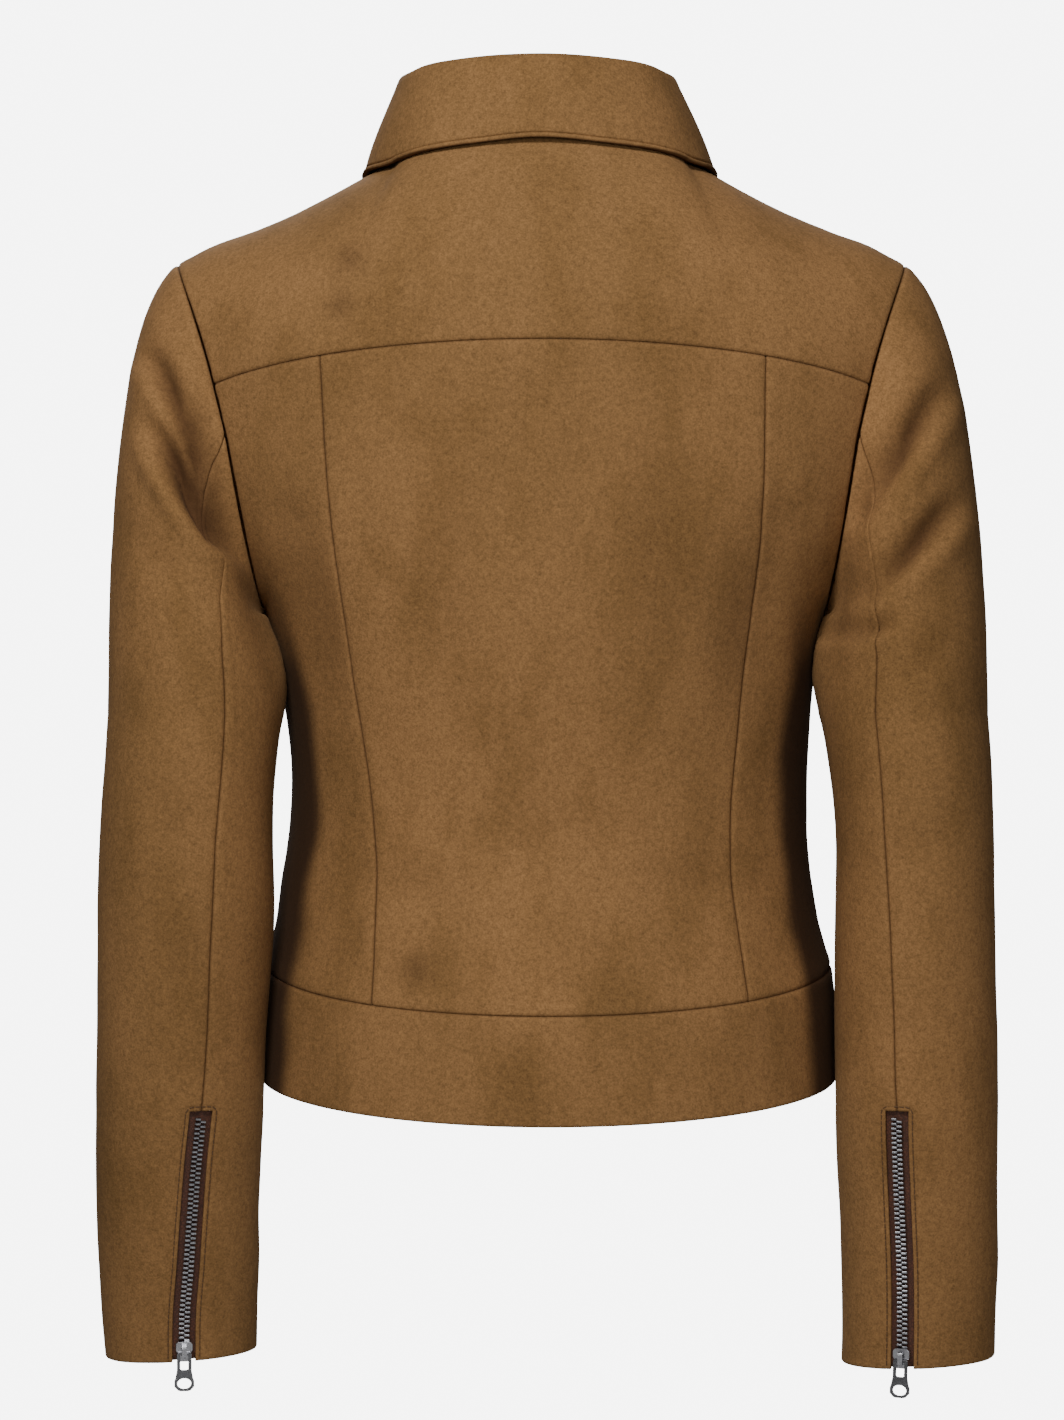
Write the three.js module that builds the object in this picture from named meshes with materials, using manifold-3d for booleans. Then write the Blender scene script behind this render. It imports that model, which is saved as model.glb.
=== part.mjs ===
import * as THREE from 'three';
import Module from 'manifold-3d';

// Suede jacket held in the air as if worn. Millimetres, +Z up, back at +Y, front at -Y,
// the wearer's left at +X, and z = 0 at the nape.

const SUEDE = 1.6; // wall of every suede panel
const COLLAR_WALL = 2.6; // two layers of suede
const TAPE_WALL = 0.8;
const HALF_SEAM = 0.15; // how far a panel stops short of its seam line
const UNDER_SEAT = 2.2; // outer face of a zip tape, below the suede's outer face
const ARMHOLE_GAP = 0.8; // added to the seam where the sleeve folds back down at the armhole
const SLEEVE_CLEAR = 2.2; // least air between a sleeve and the side of the body

const FRONT_OPENING = 6; // half the width of the opening over a zip, at the centre front
const CHAIN_HALF = 3;
const CHAIN_PROUD = 0.4; // chain above the suede's outer face
const CHAIN_WALL = 2.3;
const TAPE_HALF = 14;

// One row per level of the torso, hem first. x and y are where the row ends, at the side seam
// or the armhole, and angle is how far round the section that end lies, in degrees.
const COLUMNS = {
  side: 0, backX: 1, backY: 2, backAngle: 3, backMid: 4, backMidZ: 5,
  frontX: 6, frontY: 7, frontAngle: 8, frontMid: 9, frontMidZ: 10,
  sway: 11, princessLeft: 12, princessRight: 13,
};
const TORSO = [
  [-530.5, 162, -3, 90, 118, -549, 162, -3, 90, -117, -544, -4, 93, 113],
  [-510, 161.2, -3, 90, 117, -529.5, 161.2, -3, 90, -117, -525, -4, 92.6, 112.7],
  [-490, 160.2, -3, 90, 115, -510, 160.2, -3, 90, -116.5, -505.5, -4, 92.3, 112.3],
  [-469.5, 157.6, -3, 90, 112, -490.5, 157.6, -3, 90, -116, -486, -3.8, 92, 112],
  [-446, 151.8, -3, 90, 105, -464, 151.8, -3, 90, -115, -460, -3.3, 90.8, 108.5],
  [-423, 148.3, -3, 90, 99, -437.5, 148.3, -3, 90, -114, -434, -2.9, 90, 104.5],
  [-399, 145.2, -3, 90, 94.5, -410.5, 145.2, -3, 90, -113.5, -407.5, -3.6, 90.2, 102],
  [-375, 144.1, -3, 90, 92.5, -383.5, 144.1, -3, 90, -114, -381, -4.5, 91.5, 102.7],
  [-351, 144.8, -3, 90, 95.5, -357, 144.8, -3, 90, -116, -355, -4.4, 95.5, 105],
  [-326, 147.2, -3, 90, 101, -329.5, 147.2, -3, 90, -119, -328, -3.6, 99.7, 108.5],
  [-300, 151.3, -3, 90, 106.5, -301, 151.3, -3, 90, -123, -301, -2.6, 104, 112.5],
  [-275, 155.7, -2, 90, 110.5, -274, 155.7, -2, 90, -126, -275, -1.8, 107.8, 115.5],
  [-268, 157, 19, 82, 111.2, -266.5, 155.6, -20, 82, -126.6, -268, -1.6, 109, 117],
  [-254, 159.6, 34, 76, 112, -251, 156, -34, 76, -127, -254, -1.3, 111, 118.5],
  [-232, 163.4, 48, 70, 112.8, -226, 157.3, -45, 70, -127, -232, -0.9, 113.5, 119.6],
  [-206, 167.7, 56, 66, 113, -196, 159.8, -52, 66, -126, -206, -0.5, 116.5, 120],
  [-178, 172.5, 59, 63, 112.3, -164, 163.8, -54, 63, -123.5, -178, -0.2, 118, 120],
  [-150, 179, 57, 61, 110.5, -130, 170, -52, 61, -119, -150, 0, 119.5, 120.6],
];
const BAND_TOP = 3; // row of the waistband seam
const UNDERARM = 11; // row where the armhole starts
const CHEST = 17; // row of the yoke seam, and the last level row of the fronts
const CROWN = 6; // rows from there up to the neck and shoulder seams

// Grid columns of the back from one side to the other, and of one front.
const BACK_COLUMNS = 24;
const HALF_BACK = BACK_COLUMNS / 2;
const PRINCESS = 7; // columns from the centre back to a princess seam
const NECK_HALF = 6; // columns from the centre back to the neck point
const FRONT_COLUMNS = 12;

const NECK = { halfWidth: 76, sideY: -12, backY: 62, frontY: -97, backZ: -6, sideZ: -16, frontZ: -75 };
const NECK_FRONT_X = 8; // where the front neck seam starts, off the centre line
// Shoulder seam from the neck point to the armhole: x, z.
const SHOULDER = [
  [76, -16], [97, -27.5], [119, -39.5], [141, -50.2], [162, -58.6], [184, -66.5], [204, -77.5],
];
const SHOULDER_Y = -12;

// Collar by angle round the neck, 0 at the centre back: the top of its fold, then its lower edge.
const COLLAR = [
  [0, 0, 57.5, 30.8, 0, 73.5, -16.5],
  [30, 38, 49, 30.2, 41, 65, -21.5],
  [60, 66, 26, 28, 74, 43, -30],
  [90, 77.8, -10, 21, 95, 3, -33.5],
  [120, 68.5, -52, -9, 88, -62, -50],
  [150, 42, -84, -41, 62, -106, -92],
  [180, 10, -100, -57, 27, -122, -122],
];
const COLLAR_SWAY = 2.2; // how far the top of the collar leans to the left
const FOLD_RADIUS = 3.6;
const COLLAR_BULGE = 2; // how far the fall bows out, half way down
const COLLAR_LIFT = 2; // least air between the fall and the body
const COLLAR_GAP = 0.6; // between the neck seam and the foot of the stand

// Sleeve rings by level, upper first: z, centre x, half width, centre y, half depth, the angle
// of the elbow seam from the side that faces the body, in degrees, and how much lower the
// outer side of the ring lies than its middle.
const RINGS_LEFT = [
  [-330, 191.3, 47.8, 32, 57, 64, 0], [-352, 192.8, 47.3, 36, 55, 63, 0],
  [-376, 194.5, 47, 38, 53.5, 63, 0], [-402, 195.4, 47.6, 38.5, 53, 65, 0],
  [-436, 195.5, 48.6, 38, 52, 67.5, 0], [-470, 196.6, 47.9, 37, 50.5, 68, 0],
  [-505, 197.9, 47, 36, 48.5, 68, 0], [-535, 198.9, 46.4, 34.5, 46.8, 69.5, 0],
  [-544.5, 199.1, 46.2, 33.8, 46.3, 70.5, 0], [-546.5, 199.1, 46.2, 33.6, 46.2, 70.8, 0],
  [-575, 200.2, 45.7, 30.5, 44.5, 73.5, 0], [-605, 200.8, 45.1, 27, 43.3, 76, 0.3],
  [-632, 200.4, 44.6, 23.5, 42.3, 79.3, 0.9], [-658, 200.5, 43.4, 20.5, 41.3, 82, 1.7],
  [-683.5, 199.7, 42.4, 18, 40.5, 83.7, 2.5],
];
const RINGS_RIGHT = [
  [-330, 200.2, 45.8, 32, 57, 63, 0], [-352, 202.3, 44.9, 36, 55, 62, 0],
  [-376, 204.2, 43.8, 38, 53.5, 61, 0], [-402, 205.2, 43.3, 38.5, 53, 61, 0],
  [-436, 205.2, 43.8, 38, 52, 65, 0], [-470, 205.4, 44.5, 37, 50.5, 67.5, 0],
  [-505, 205.8, 44.9, 36, 48.5, 69, 0], [-535, 206.3, 44.8, 34.5, 46.8, 70, 0],
  [-544.5, 206.5, 44.7, 33.8, 46.3, 70.5, 0], [-546.5, 206.5, 44.7, 33.6, 46.2, 70.5, 0],
  [-575, 207.1, 44.4, 30.5, 44.5, 71, 0], [-605, 208.2, 43.9, 27, 43.3, 71.5, -0.2],
  [-632, 209.2, 43.7, 23.5, 42.3, 72, -0.7], [-658, 209.2, 42.9, 20.5, 41.3, 72.5, -1.4],
  [-687, 208.8, 42.7, 18, 40.5, 73, -2],
];
const RING_COLUMNS = 24;
const CAP_ROWS = 12; // rows from the armhole down to the first ring
const SLOT_ROW = 9; // first ring with the cuff opening
const SLOT_ANGLE = 8.4; // half the opening, in degrees
// Ring columns of the shoulder, the elbow seam and the inner front seam, and the angle of the last.
const SHOULDER_COLUMN = 12;
const ELBOW_COLUMN = 5;
const INNER_COLUMN = 21;
const INNER_ANGLE = 312;

// Which way a sleeve leaves the armhole, by ring column: x, y, z.
const CAP_START = [
  [0, 2, 10, -30], [3, 36, 36, -34], [6, 72, 44, -42], [9, 88, 26, -60], [12, 98, 0, -66],
  [15, 88, -22, -60], [18, 72, -38, -42], [21, 42, -30, -34], [24, 2, 10, -30],
];

// Largest folds of the sleeves as seen from the back: depth, half breadth, then x, z along the fold.
const FOLDS_LEFT = [
  [3.5, 9, [[219, -134], [193, -171]]],
  [9, 9, [[214, -172], [193, -208], [177, -230], [163, -240]]],
];
const FOLDS_RIGHT = [
  [5.5, 10, [[222, -152], [187, -197], [178, -216]]],
  [6, 9, [[229, -217], [206, -235], [182, -257]]],
  [3.5, 7, [[190, -283], [162, -286]]],
];

const SLIDER = { wide: 9, long: 11, low: -1.9, high: 2.4 };
const BRIDGE = { wide: 2.6, from: 1.6, to: 8.9, leg: 1.2, top: 6.2, under: 5 };
const PULL = { axisDown: 6.4, axisOut: 3.65, bar: 1.4, end: 26.5, wide: 8, ringWide: 10.8 };
const WINDOW = { wide: 4.4, to: 15.2 };
const RING_HOLE = { wide: 7.6, high: 5.9, down: 22.4 };
const CUFF_SLIDER_UP = 12; // slider's upper end above the cuff hem
const FRONT_SLIDER_ROW = CHEST + 4.6; // along the centre front

const suede = new THREE.MeshStandardMaterial({ color: 0x87643c, roughness: 0.95 });
const tapeCloth = new THREE.MeshStandardMaterial({ color: 0x58321e, roughness: 0.9 });
const nickel = new THREE.MeshStandardMaterial({ color: 0xc8c8cd, roughness: 0.3, metalness: 1 });

const radians = THREE.MathUtils.degToRad;
const clamp = THREE.MathUtils.clamp;
const lerp = THREE.MathUtils.lerp;
const range = (n) => Array.from({ length: n + 1 }, (_, i) => i);

// A column of a table at a row that may lie between two, along a smooth curve.
function along(table, column, row) {
  const last = table.length - 1;
  const i = clamp(Math.floor(row), 0, last - 1);
  const f = row - i;
  const value = (k) => table[clamp(k, 0, last)][column];
  const slope = (k) => (value(k + 1) - value(k - 1)) / (k <= 0 || k >= last ? 1 : 2);
  const f2 = f * f;
  const f3 = f2 * f;
  return (2 * f3 - 3 * f2 + 1) * value(i) + (f3 - 2 * f2 + f) * slope(i)
    + (3 * f2 - 2 * f3) * value(i + 1) + (f3 - f2) * slope(i + 1);
}

// The row, with its fraction, at which the first column of a table has a value.
function rowOf(table, wanted) {
  const down = table[0][0] > table[1][0] ? -1 : 1;
  for (let i = 0; i < table.length - 1; i++) {
    const [a, b] = [table[i][0], table[i + 1][0]];
    if ((wanted - b) * down <= 0) return i + (wanted - a) / (b - a);
  }
  return table.length - 1;
}

function hermite(start, end, leave, arrive, s) {
  const s2 = s * s;
  const s3 = s2 * s;
  return new THREE.Vector3()
    .addScaledVector(start, 2 * s3 - 3 * s2 + 1)
    .addScaledVector(leave, s3 - 2 * s2 + s)
    .addScaledVector(end, 3 * s2 - 2 * s3)
    .addScaledVector(arrive, s3 - s2);
}

const torso = (name, row) => along(TORSO, COLUMNS[name], row);

// A point of the torso up to the chest row. u runs from -1 at the right end to 1 at the left end.
function levelPoint(face, row, u) {
  const angle = radians(torso(`${face}Angle`, row));
  const turn = u * angle;
  const lift = (Math.cos(turn) - Math.cos(angle)) / (1 - Math.cos(angle));
  return new THREE.Vector3(
    torso('sway', row) + torso(`${face}X`, row) * Math.sin(turn) / Math.sin(angle),
    lerp(torso(`${face}Y`, row), torso(`${face}Mid`, row), lift),
    lerp(torso('side', row), torso(`${face}MidZ`, row), lift),
  );
}

// u of the point of a row that lies at x.
function uAt(face, row, x) {
  const angle = radians(torso(`${face}Angle`, row));
  const sine = (x - torso('sway', row)) * Math.sin(angle) / torso(`${face}X`, row);
  return Math.asin(clamp(sine, -1, 1)) / angle;
}

function backU(row, column) {
  const off = column - HALF_BACK;
  const side = Math.sign(off) || 1;
  const seamRow = Math.max(row, BAND_TOP);
  const reach = torso(side > 0 ? 'princessLeft' : 'princessRight', seamRow);
  const seam = side * uAt('back', seamRow, side * reach);
  const away = Math.abs(off);
  const u = away <= PRINCESS ? seam * away / PRINCESS
    : seam + (1 - seam) * (away - PRINCESS) / (HALF_BACK - PRINCESS);
  return side * u;
}

function frontU(row, column, side) {
  const open = Math.abs(uAt('front', row, torso('sway', row) + side * FRONT_OPENING));
  return side * (open + (1 - open) * column / FRONT_COLUMNS);
}

// Neck seam by angle, 0 at the centre back and 180 at the centre front, on the left for side 1.
function neckPoint(degrees, side) {
  const a = radians(degrees);
  const c = Math.cos(a);
  if (degrees <= 90) {
    return new THREE.Vector3(
      side * NECK.halfWidth * Math.sin(a),
      lerp(NECK.sideY, NECK.backY, c),
      lerp(NECK.sideZ, NECK.backZ, c),
    );
  }
  return new THREE.Vector3(
    side * Math.max(NECK.halfWidth * Math.sin(a), NECK_FRONT_X),
    lerp(NECK.sideY, NECK.frontY, -c),
    lerp(NECK.sideZ, NECK.frontZ, Math.pow(Math.max(-c, 0), 1.2)),
  );
}

// fraction 0 at the neck point, 1 at the armhole.
function shoulderPoint(fraction, side) {
  const row = fraction * (SHOULDER.length - 1);
  return new THREE.Vector3(side * along(SHOULDER, 0, row), SHOULDER_Y, along(SHOULDER, 1, row));
}

// The edge that the back or a front reaches at the top, off columns away from the centre.
function crownEdge(face, off, side) {
  if (off > NECK_HALF) return shoulderPoint((off - NECK_HALF) / (HALF_BACK - NECK_HALF), side);
  const turn = 90 * off / NECK_HALF;
  return neckPoint(face === 'back' ? turn : 180 - turn, side);
}

// How the cloth arrives at the neck seam and at the shoulder seam.
const ARRIVE = {
  back: { neckEnd: [0, -0.42, 0.85], shoulderEnd: [0, -1.2, 0.04] },
  front: { neckEnd: [0, 0.3, 0.85], shoulderEnd: [0, 1.2, 0.04] },
};

// A point above the chest row; row CHEST + CROWN is the neck or shoulder seam.
function crownPoint(face, row, off, side, u) {
  const base = levelPoint(face, CHEST, u);
  const below = levelPoint(face, CHEST - 0.5, u);
  const top = crownEdge(face, off, side);
  const length = base.distanceTo(top);
  const leave = base.clone().sub(below).setLength(length);
  const mix = clamp(off / NECK_HALF, 0, 1);
  const smooth = mix * mix * (3 - 2 * mix);
  const { neckEnd, shoulderEnd } = ARRIVE[face];
  const arrive = new THREE.Vector3(...neckEnd)
    .lerp(new THREE.Vector3(...shoulderEnd), smooth).multiplyScalar(length);
  return hermite(base, top, leave, arrive, (row - CHEST) / CROWN);
}

function backPoint(row, column) {
  if (row <= CHEST) return levelPoint('back', row, backU(row, column));
  const off = column - HALF_BACK;
  return crownPoint('back', row, Math.abs(off), Math.sign(off) || 1, backU(CHEST, column));
}

function frontPoint(row, column, side) {
  if (row <= CHEST) return levelPoint('front', row, frontU(row, column, side));
  return crownPoint('front', row, column, side, frontU(CHEST, column, side));
}

// A point of the centre front, x off the centre line, at and under the opening.
function placketPoint(row, x) {
  const side = x < 0 ? -1 : 1;
  const point = frontPoint(row, 0, side);
  return new THREE.Vector3(x + torso('sway', Math.min(row, CHEST)), point.y, point.z);
}

// Armhole by ring column: up the back from the underarm, over the shoulder, down the front.
function armhole(column, side) {
  const back = side > 0 ? BACK_COLUMNS : 0;
  if (column <= SHOULDER_COLUMN) return backPoint(UNDERARM + column, back);
  return frontPoint(UNDERARM + RING_COLUMNS - column, FRONT_COLUMNS, side);
}

// x of the side of the body at a height and depth, for the sleeves to stay outside of.
function bodySide(y, z, side) {
  const row = clamp(rowOf(TORSO, z), 0, UNDERARM);
  const middle = torso('backY', row);
  const reach = torso(y > middle ? 'backMid' : 'frontMid', row) - middle;
  const across = Math.sqrt(Math.max(0, 1 - ((y - middle) / reach) ** 2));
  return torso('backX', row) * across + side * torso('sway', row);
}

function keepClear(point, side) {
  if (point.z > TORSO[UNDERARM][0]) return point;
  const least = bodySide(point.y, point.z, side) + SLEEVE_CLEAR;
  const x = side * point.x;
  point.x = side * 0.5 * (x + least + Math.sqrt((x - least) ** 2 + 4));
  return point;
}

function ringAngle(rings, row, column, part) {
  const seam = along(rings, 5, row);
  const open = row >= SLOT_ROW ? SLOT_ANGLE : 0;
  const from = part === 'under' ? seam - open : seam + open;
  if (part === 'under') {
    if (column <= ELBOW_COLUMN) return from * column / ELBOW_COLUMN;
    return lerp(INNER_ANGLE, 360, (column - INNER_COLUMN) / (RING_COLUMNS - INNER_COLUMN));
  }
  if (column <= SHOULDER_COLUMN) {
    return lerp(from, 180, (column - ELBOW_COLUMN) / (SHOULDER_COLUMN - ELBOW_COLUMN));
  }
  return lerp(180, INNER_ANGLE, (column - SHOULDER_COLUMN) / (INNER_COLUMN - SHOULDER_COLUMN));
}

function ringPoint(rings, row, degrees, side) {
  const a = radians(degrees);
  return new THREE.Vector3(
    side * (along(rings, 1, row) - along(rings, 2, row) * Math.cos(a)),
    along(rings, 3, row) + along(rings, 4, row) * Math.sin(a),
    along(rings, 0, row) + along(rings, 6, row) * Math.cos(a),
  );
}

function distanceToPath(x, z, path) {
  let best = Infinity;
  for (let i = 0; i + 1 < path.length; i++) {
    const [ax, az] = path[i];
    const [dx, dz] = [path[i + 1][0] - ax, path[i + 1][1] - az];
    const t = clamp(((x - ax) * dx + (z - az) * dz) / (dx * dx + dz * dz), 0, 1);
    best = Math.min(best, Math.hypot(x - ax - t * dx, z - az - t * dz));
  }
  return best;
}

// Presses the large folds into the back of a sleeve, towards its middle.
function fold(point, middleY, side) {
  if (point.y < middleY) return point;
  const x = side * point.x;
  const folds = side > 0 ? FOLDS_LEFT : FOLDS_RIGHT;
  const facing = clamp((point.y - middleY) / 25, 0, 1);
  for (const [depth, half, path] of folds) {
    const away = distanceToPath(x, point.z, path) / half;
    point.y -= depth * facing * Math.exp(-away * away);
  }
  return point;
}

// rho counts rows from the armhole, then ring rows past CAP_ROWS.
function sleevePoint(rho, column, side, part) {
  const rings = side > 0 ? RINGS_LEFT : RINGS_RIGHT;
  const row = Math.max(rho - CAP_ROWS, 0);
  const ring = ringPoint(rings, row, ringAngle(rings, row, column, part), side);
  if (rho >= CAP_ROWS) return keepClear(ring, side);
  const start = armhole(column, side);
  if (rho === 0) return start;
  const key = column / 3;
  const leave = new THREE.Vector3(
    side * along(CAP_START, 1, key), along(CAP_START, 2, key), along(CAP_START, 3, key),
  );
  const drop = 0.35 * Math.abs(start.z - ring.z) + 0.85 * start.distanceTo(ring);
  const point = hermite(start, ring, leave, new THREE.Vector3(0, 0, -drop), rho / CAP_ROWS);
  const middle = lerp(0, rings[0][3], rho / CAP_ROWS);
  return keepClear(fold(point, middle, side), side);
}

const gridOf = (rows, columns, at) => rows.map((r) => columns.map((c) => at(r, c)));

function normalsOf(grid) {
  const pick = (i, j) => grid[clamp(i, 0, grid.length - 1)][clamp(j, 0, grid[0].length - 1)];
  return grid.map((line, i) => line.map((_, j) => {
    const alongColumns = pick(i, j + 1).clone().sub(pick(i, j - 1)).normalize();
    const alongRows = pick(i + 1, j).clone().sub(pick(i - 1, j)).normalize();
    return alongColumns.cross(alongRows).normalize();
  }));
}

// Where two panels meet they share one direction through the wall, so their edges stay parallel.
function shareNormals(panels) {
  const key = (p) => `${Math.round(p.x * 50)}_${Math.round(p.y * 50)}_${Math.round(p.z * 50)}`;
  const sums = new Map();
  const each = (visit) => panels.forEach((panel) => panel.grid.forEach((line, i) => line.forEach((p, j) => {
    visit(key(p), panel.normals[i][j]);
  })));
  each((k, n) => sums.set(k, (sums.get(k) ?? new THREE.Vector3()).add(n)));
  each((k, n) => n.copy(sums.get(k)).normalize());
}

// Moves the outline of a panel in by half a seam, within its own surface.
function insetEdges(panel) {
  const { grid, normals, seams } = panel;
  const lastRow = grid.length - 1;
  const lastColumn = grid[0].length - 1;
  const moved = grid.map((line) => line.map((p) => p.clone()));
  const shift = (i, j, tangent, inward) => {
    const step = tangent.clone().cross(normals[i][j]).normalize();
    if (step.dot(inward) < 0) step.negate();
    moved[i][j].addScaledVector(step, HALF_SEAM);
  };
  for (let i = 0; i <= lastRow; i++) {
    const tangent = grid[Math.min(i + 1, lastRow)][0].clone().sub(grid[Math.max(i - 1, 0)][0]);
    const far = grid[Math.min(i + 1, lastRow)][lastColumn].clone()
      .sub(grid[Math.max(i - 1, 0)][lastColumn]);
    if (seams.start) shift(i, 0, tangent, grid[i][1].clone().sub(grid[i][0]));
    if (seams.end) shift(i, lastColumn, far, grid[i][lastColumn - 1].clone().sub(grid[i][lastColumn]));
  }
  for (let j = 0; j <= lastColumn; j++) {
    const low = grid[0][Math.min(j + 1, lastColumn)].clone().sub(grid[0][Math.max(j - 1, 0)]);
    const high = grid[lastRow][Math.min(j + 1, lastColumn)].clone()
      .sub(grid[lastRow][Math.max(j - 1, 0)]);
    if (seams.first) shift(0, j, low, grid[1][j].clone().sub(grid[0][j]));
    if (seams.last) shift(lastRow, j, high, grid[lastRow - 1][j].clone().sub(grid[lastRow][j]));
  }
  panel.grid = moved;
}

// A closed wall from its outer points, the directions through it and its thickness.
function wallMesh(name, grid, normals, wall, material) {
  const rows = grid.length;
  const columns = grid[0].length;
  const points = [];
  grid.flat().forEach((p) => points.push(p));
  grid.forEach((line, i) => line.forEach((p, j) => {
    points.push(p.clone().addScaledVector(normals[i][j], -wall));
  }));
  const outer = (i, j) => i * columns + j;
  const inner = (i, j) => rows * columns + outer(i, j);
  const faces = [];
  const quad = (a, b, c, d, turned) => {
    if (turned) faces.push(a, b, d, b, c, d);
    else faces.push(a, b, c, a, c, d);
  };
  for (let i = 0; i + 1 < rows; i++) {
    for (let j = 0; j + 1 < columns; j++) {
      const [down, up] = [grid[i][j].distanceTo(grid[i + 1][j + 1]),
        grid[i][j + 1].distanceTo(grid[i + 1][j])];
      const turned = down > up;
      quad(outer(i, j), outer(i, j + 1), outer(i + 1, j + 1), outer(i + 1, j), turned);
      quad(inner(i, j), inner(i + 1, j), inner(i + 1, j + 1), inner(i, j + 1), turned);
      if (turned) {
        faces.splice(-6, 6, inner(i, j), inner(i + 1, j), inner(i, j + 1),
          inner(i, j + 1), inner(i + 1, j), inner(i + 1, j + 1));
      }
    }
  }
  const rim = [];
  for (let j = 0; j + 1 < columns; j++) rim.push([0, j]);
  for (let i = 0; i + 1 < rows; i++) rim.push([i, columns - 1]);
  for (let j = columns - 1; j > 0; j--) rim.push([rows - 1, j]);
  for (let i = rows - 1; i > 0; i--) rim.push([i, 0]);
  rim.forEach((here, k) => {
    const next = rim[(k + 1) % rim.length];
    quad(outer(...here), inner(...here), inner(...next), outer(...next), false);
  });
  return meshOf(name, points, faces, material);
}

// A mesh whose faces all look out, whichever way round they were listed.
function meshOf(name, points, faces, material) {
  let volume = 0;
  for (let k = 0; k < faces.length; k += 3) {
    const [a, b, c] = [points[faces[k]], points[faces[k + 1]], points[faces[k + 2]]];
    volume += a.dot(b.clone().cross(c));
  }
  const index = volume < 0 ? faces.slice().reverse() : faces;
  const geometry = new THREE.BufferGeometry();
  const numbers = points.flatMap((p) => p.toArray());
  geometry.setAttribute('position', new THREE.Float32BufferAttribute(numbers, 3));
  geometry.setIndex(index);
  geometry.computeVertexNormals();
  const mesh = new THREE.Mesh(geometry, material);
  mesh.name = name;
  return mesh;
}

const span = (from, to) => range(Math.abs(to - from)).map((i) => from + i * Math.sign(to - from));

function panel(name, grid, outward, seams) {
  const normals = normalsOf(grid);
  const middle = normals[Math.floor(grid.length / 2)][Math.floor(grid[0].length / 2)];
  if (middle.dot(outward) < 0) normals.flat().forEach((n) => n.negate());
  return { name, grid, normals, seams };
}

const ALL_SEAMS = { start: true, end: true, first: true, last: true };
const BACKWARD = new THREE.Vector3(0, 1, 0);
const FORWARD = new THREE.Vector3(0, -1, 0);

function backPanels() {
  const cut = (name, from, to, columns, outward, seams) => panel(
    name, gridOf(span(from, to), columns, backPoint), outward, { ...ALL_SEAMS, ...seams },
  );
  const right = span(0, HALF_BACK - PRINCESS);
  const left = span(HALF_BACK + PRINCESS, BACK_COLUMNS);
  const centre = span(HALF_BACK - PRINCESS, HALF_BACK + PRINCESS);
  return [
    cut('back_centre', BAND_TOP, CHEST, centre, BACKWARD, {}),
    cut('back_side_right', BAND_TOP, CHEST, right, new THREE.Vector3(-0.6, 0.8, 0), {}),
    cut('back_side_left', BAND_TOP, CHEST, left, new THREE.Vector3(0.6, 0.8, 0), {}),
    cut('back_yoke', CHEST, CHEST + CROWN, span(0, BACK_COLUMNS), BACKWARD, {}),
    cut('waistband_back', 0, BAND_TOP, span(0, BACK_COLUMNS), BACKWARD, { first: false }),
  ];
}

function frontPanels(side, suffix) {
  const at = (row, column) => frontPoint(row, column, side);
  const columns = span(0, FRONT_COLUMNS);
  const body = gridOf(span(BAND_TOP, CHEST + CROWN), columns, at);
  const band = gridOf(span(0, BAND_TOP), columns, at);
  return [
    panel(`front_${suffix}`, body, FORWARD, { ...ALL_SEAMS, start: false }),
    panel(`waistband_front_${suffix}`, band, FORWARD, { ...ALL_SEAMS, start: false, first: false }),
  ];
}

function sleevePanels(side, suffix) {
  const rings = side > 0 ? RINGS_LEFT : RINGS_RIGHT;
  const rows = span(0, CAP_ROWS + rings.length - 1);
  const topColumns = span(ELBOW_COLUMN, INNER_COLUMN);
  const underColumns = [...span(INNER_COLUMN, RING_COLUMNS - 1), ...span(0, ELBOW_COLUMN)];
  const cut = (columns, part) => gridOf(rows, columns, (r, c) => sleevePoint(r, c, side, part));
  const seams = { ...ALL_SEAMS, last: false };
  return [
    panel(`sleeve_top_${suffix}`, cut(topColumns, 'top'), new THREE.Vector3(side, 0, 0), seams),
    panel(`sleeve_under_${suffix}`, cut(underColumns, 'under'), new THREE.Vector3(-side, 0, 0), seams),
  ];
}

// Points and outward directions of the shoulders and chest, for the collar to stay off.
function shoulderSamples() {
  const samples = [];
  const add = (at, row, column, outward) => {
    const here = at(row, column);
    const across = at(row, column + 0.1).clone().sub(at(row, column - 0.1));
    const up = at(row + 0.05, column).clone().sub(at(row - 0.05, column));
    const normal = across.cross(up).normalize();
    if (normal.y * outward + normal.z * 0.7 < 0) normal.negate();
    samples.push({ here, normal });
  };
  for (let row = CHEST + 0.2; row < CHEST + CROWN; row += 0.2) {
    for (let column = 0.5; column < BACK_COLUMNS; column += 0.4) add(backPoint, row, column, 1);
    for (const side of [-1, 1]) {
      const at = (r, c) => frontPoint(r, c, side);
      for (let column = 0.2; column < FRONT_COLUMNS; column += 0.4) add(at, row, column, -1);
    }
  }
  return samples;
}

function liftOff(point, samples, least) {
  let best = samples[0];
  for (const sample of samples) {
    if (sample.here.distanceToSquared(point) < best.here.distanceToSquared(point)) best = sample;
  }
  const high = point.clone().sub(best.here).dot(best.normal);
  if (high < least) point.addScaledVector(best.normal, least - high);
  return point;
}

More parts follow.
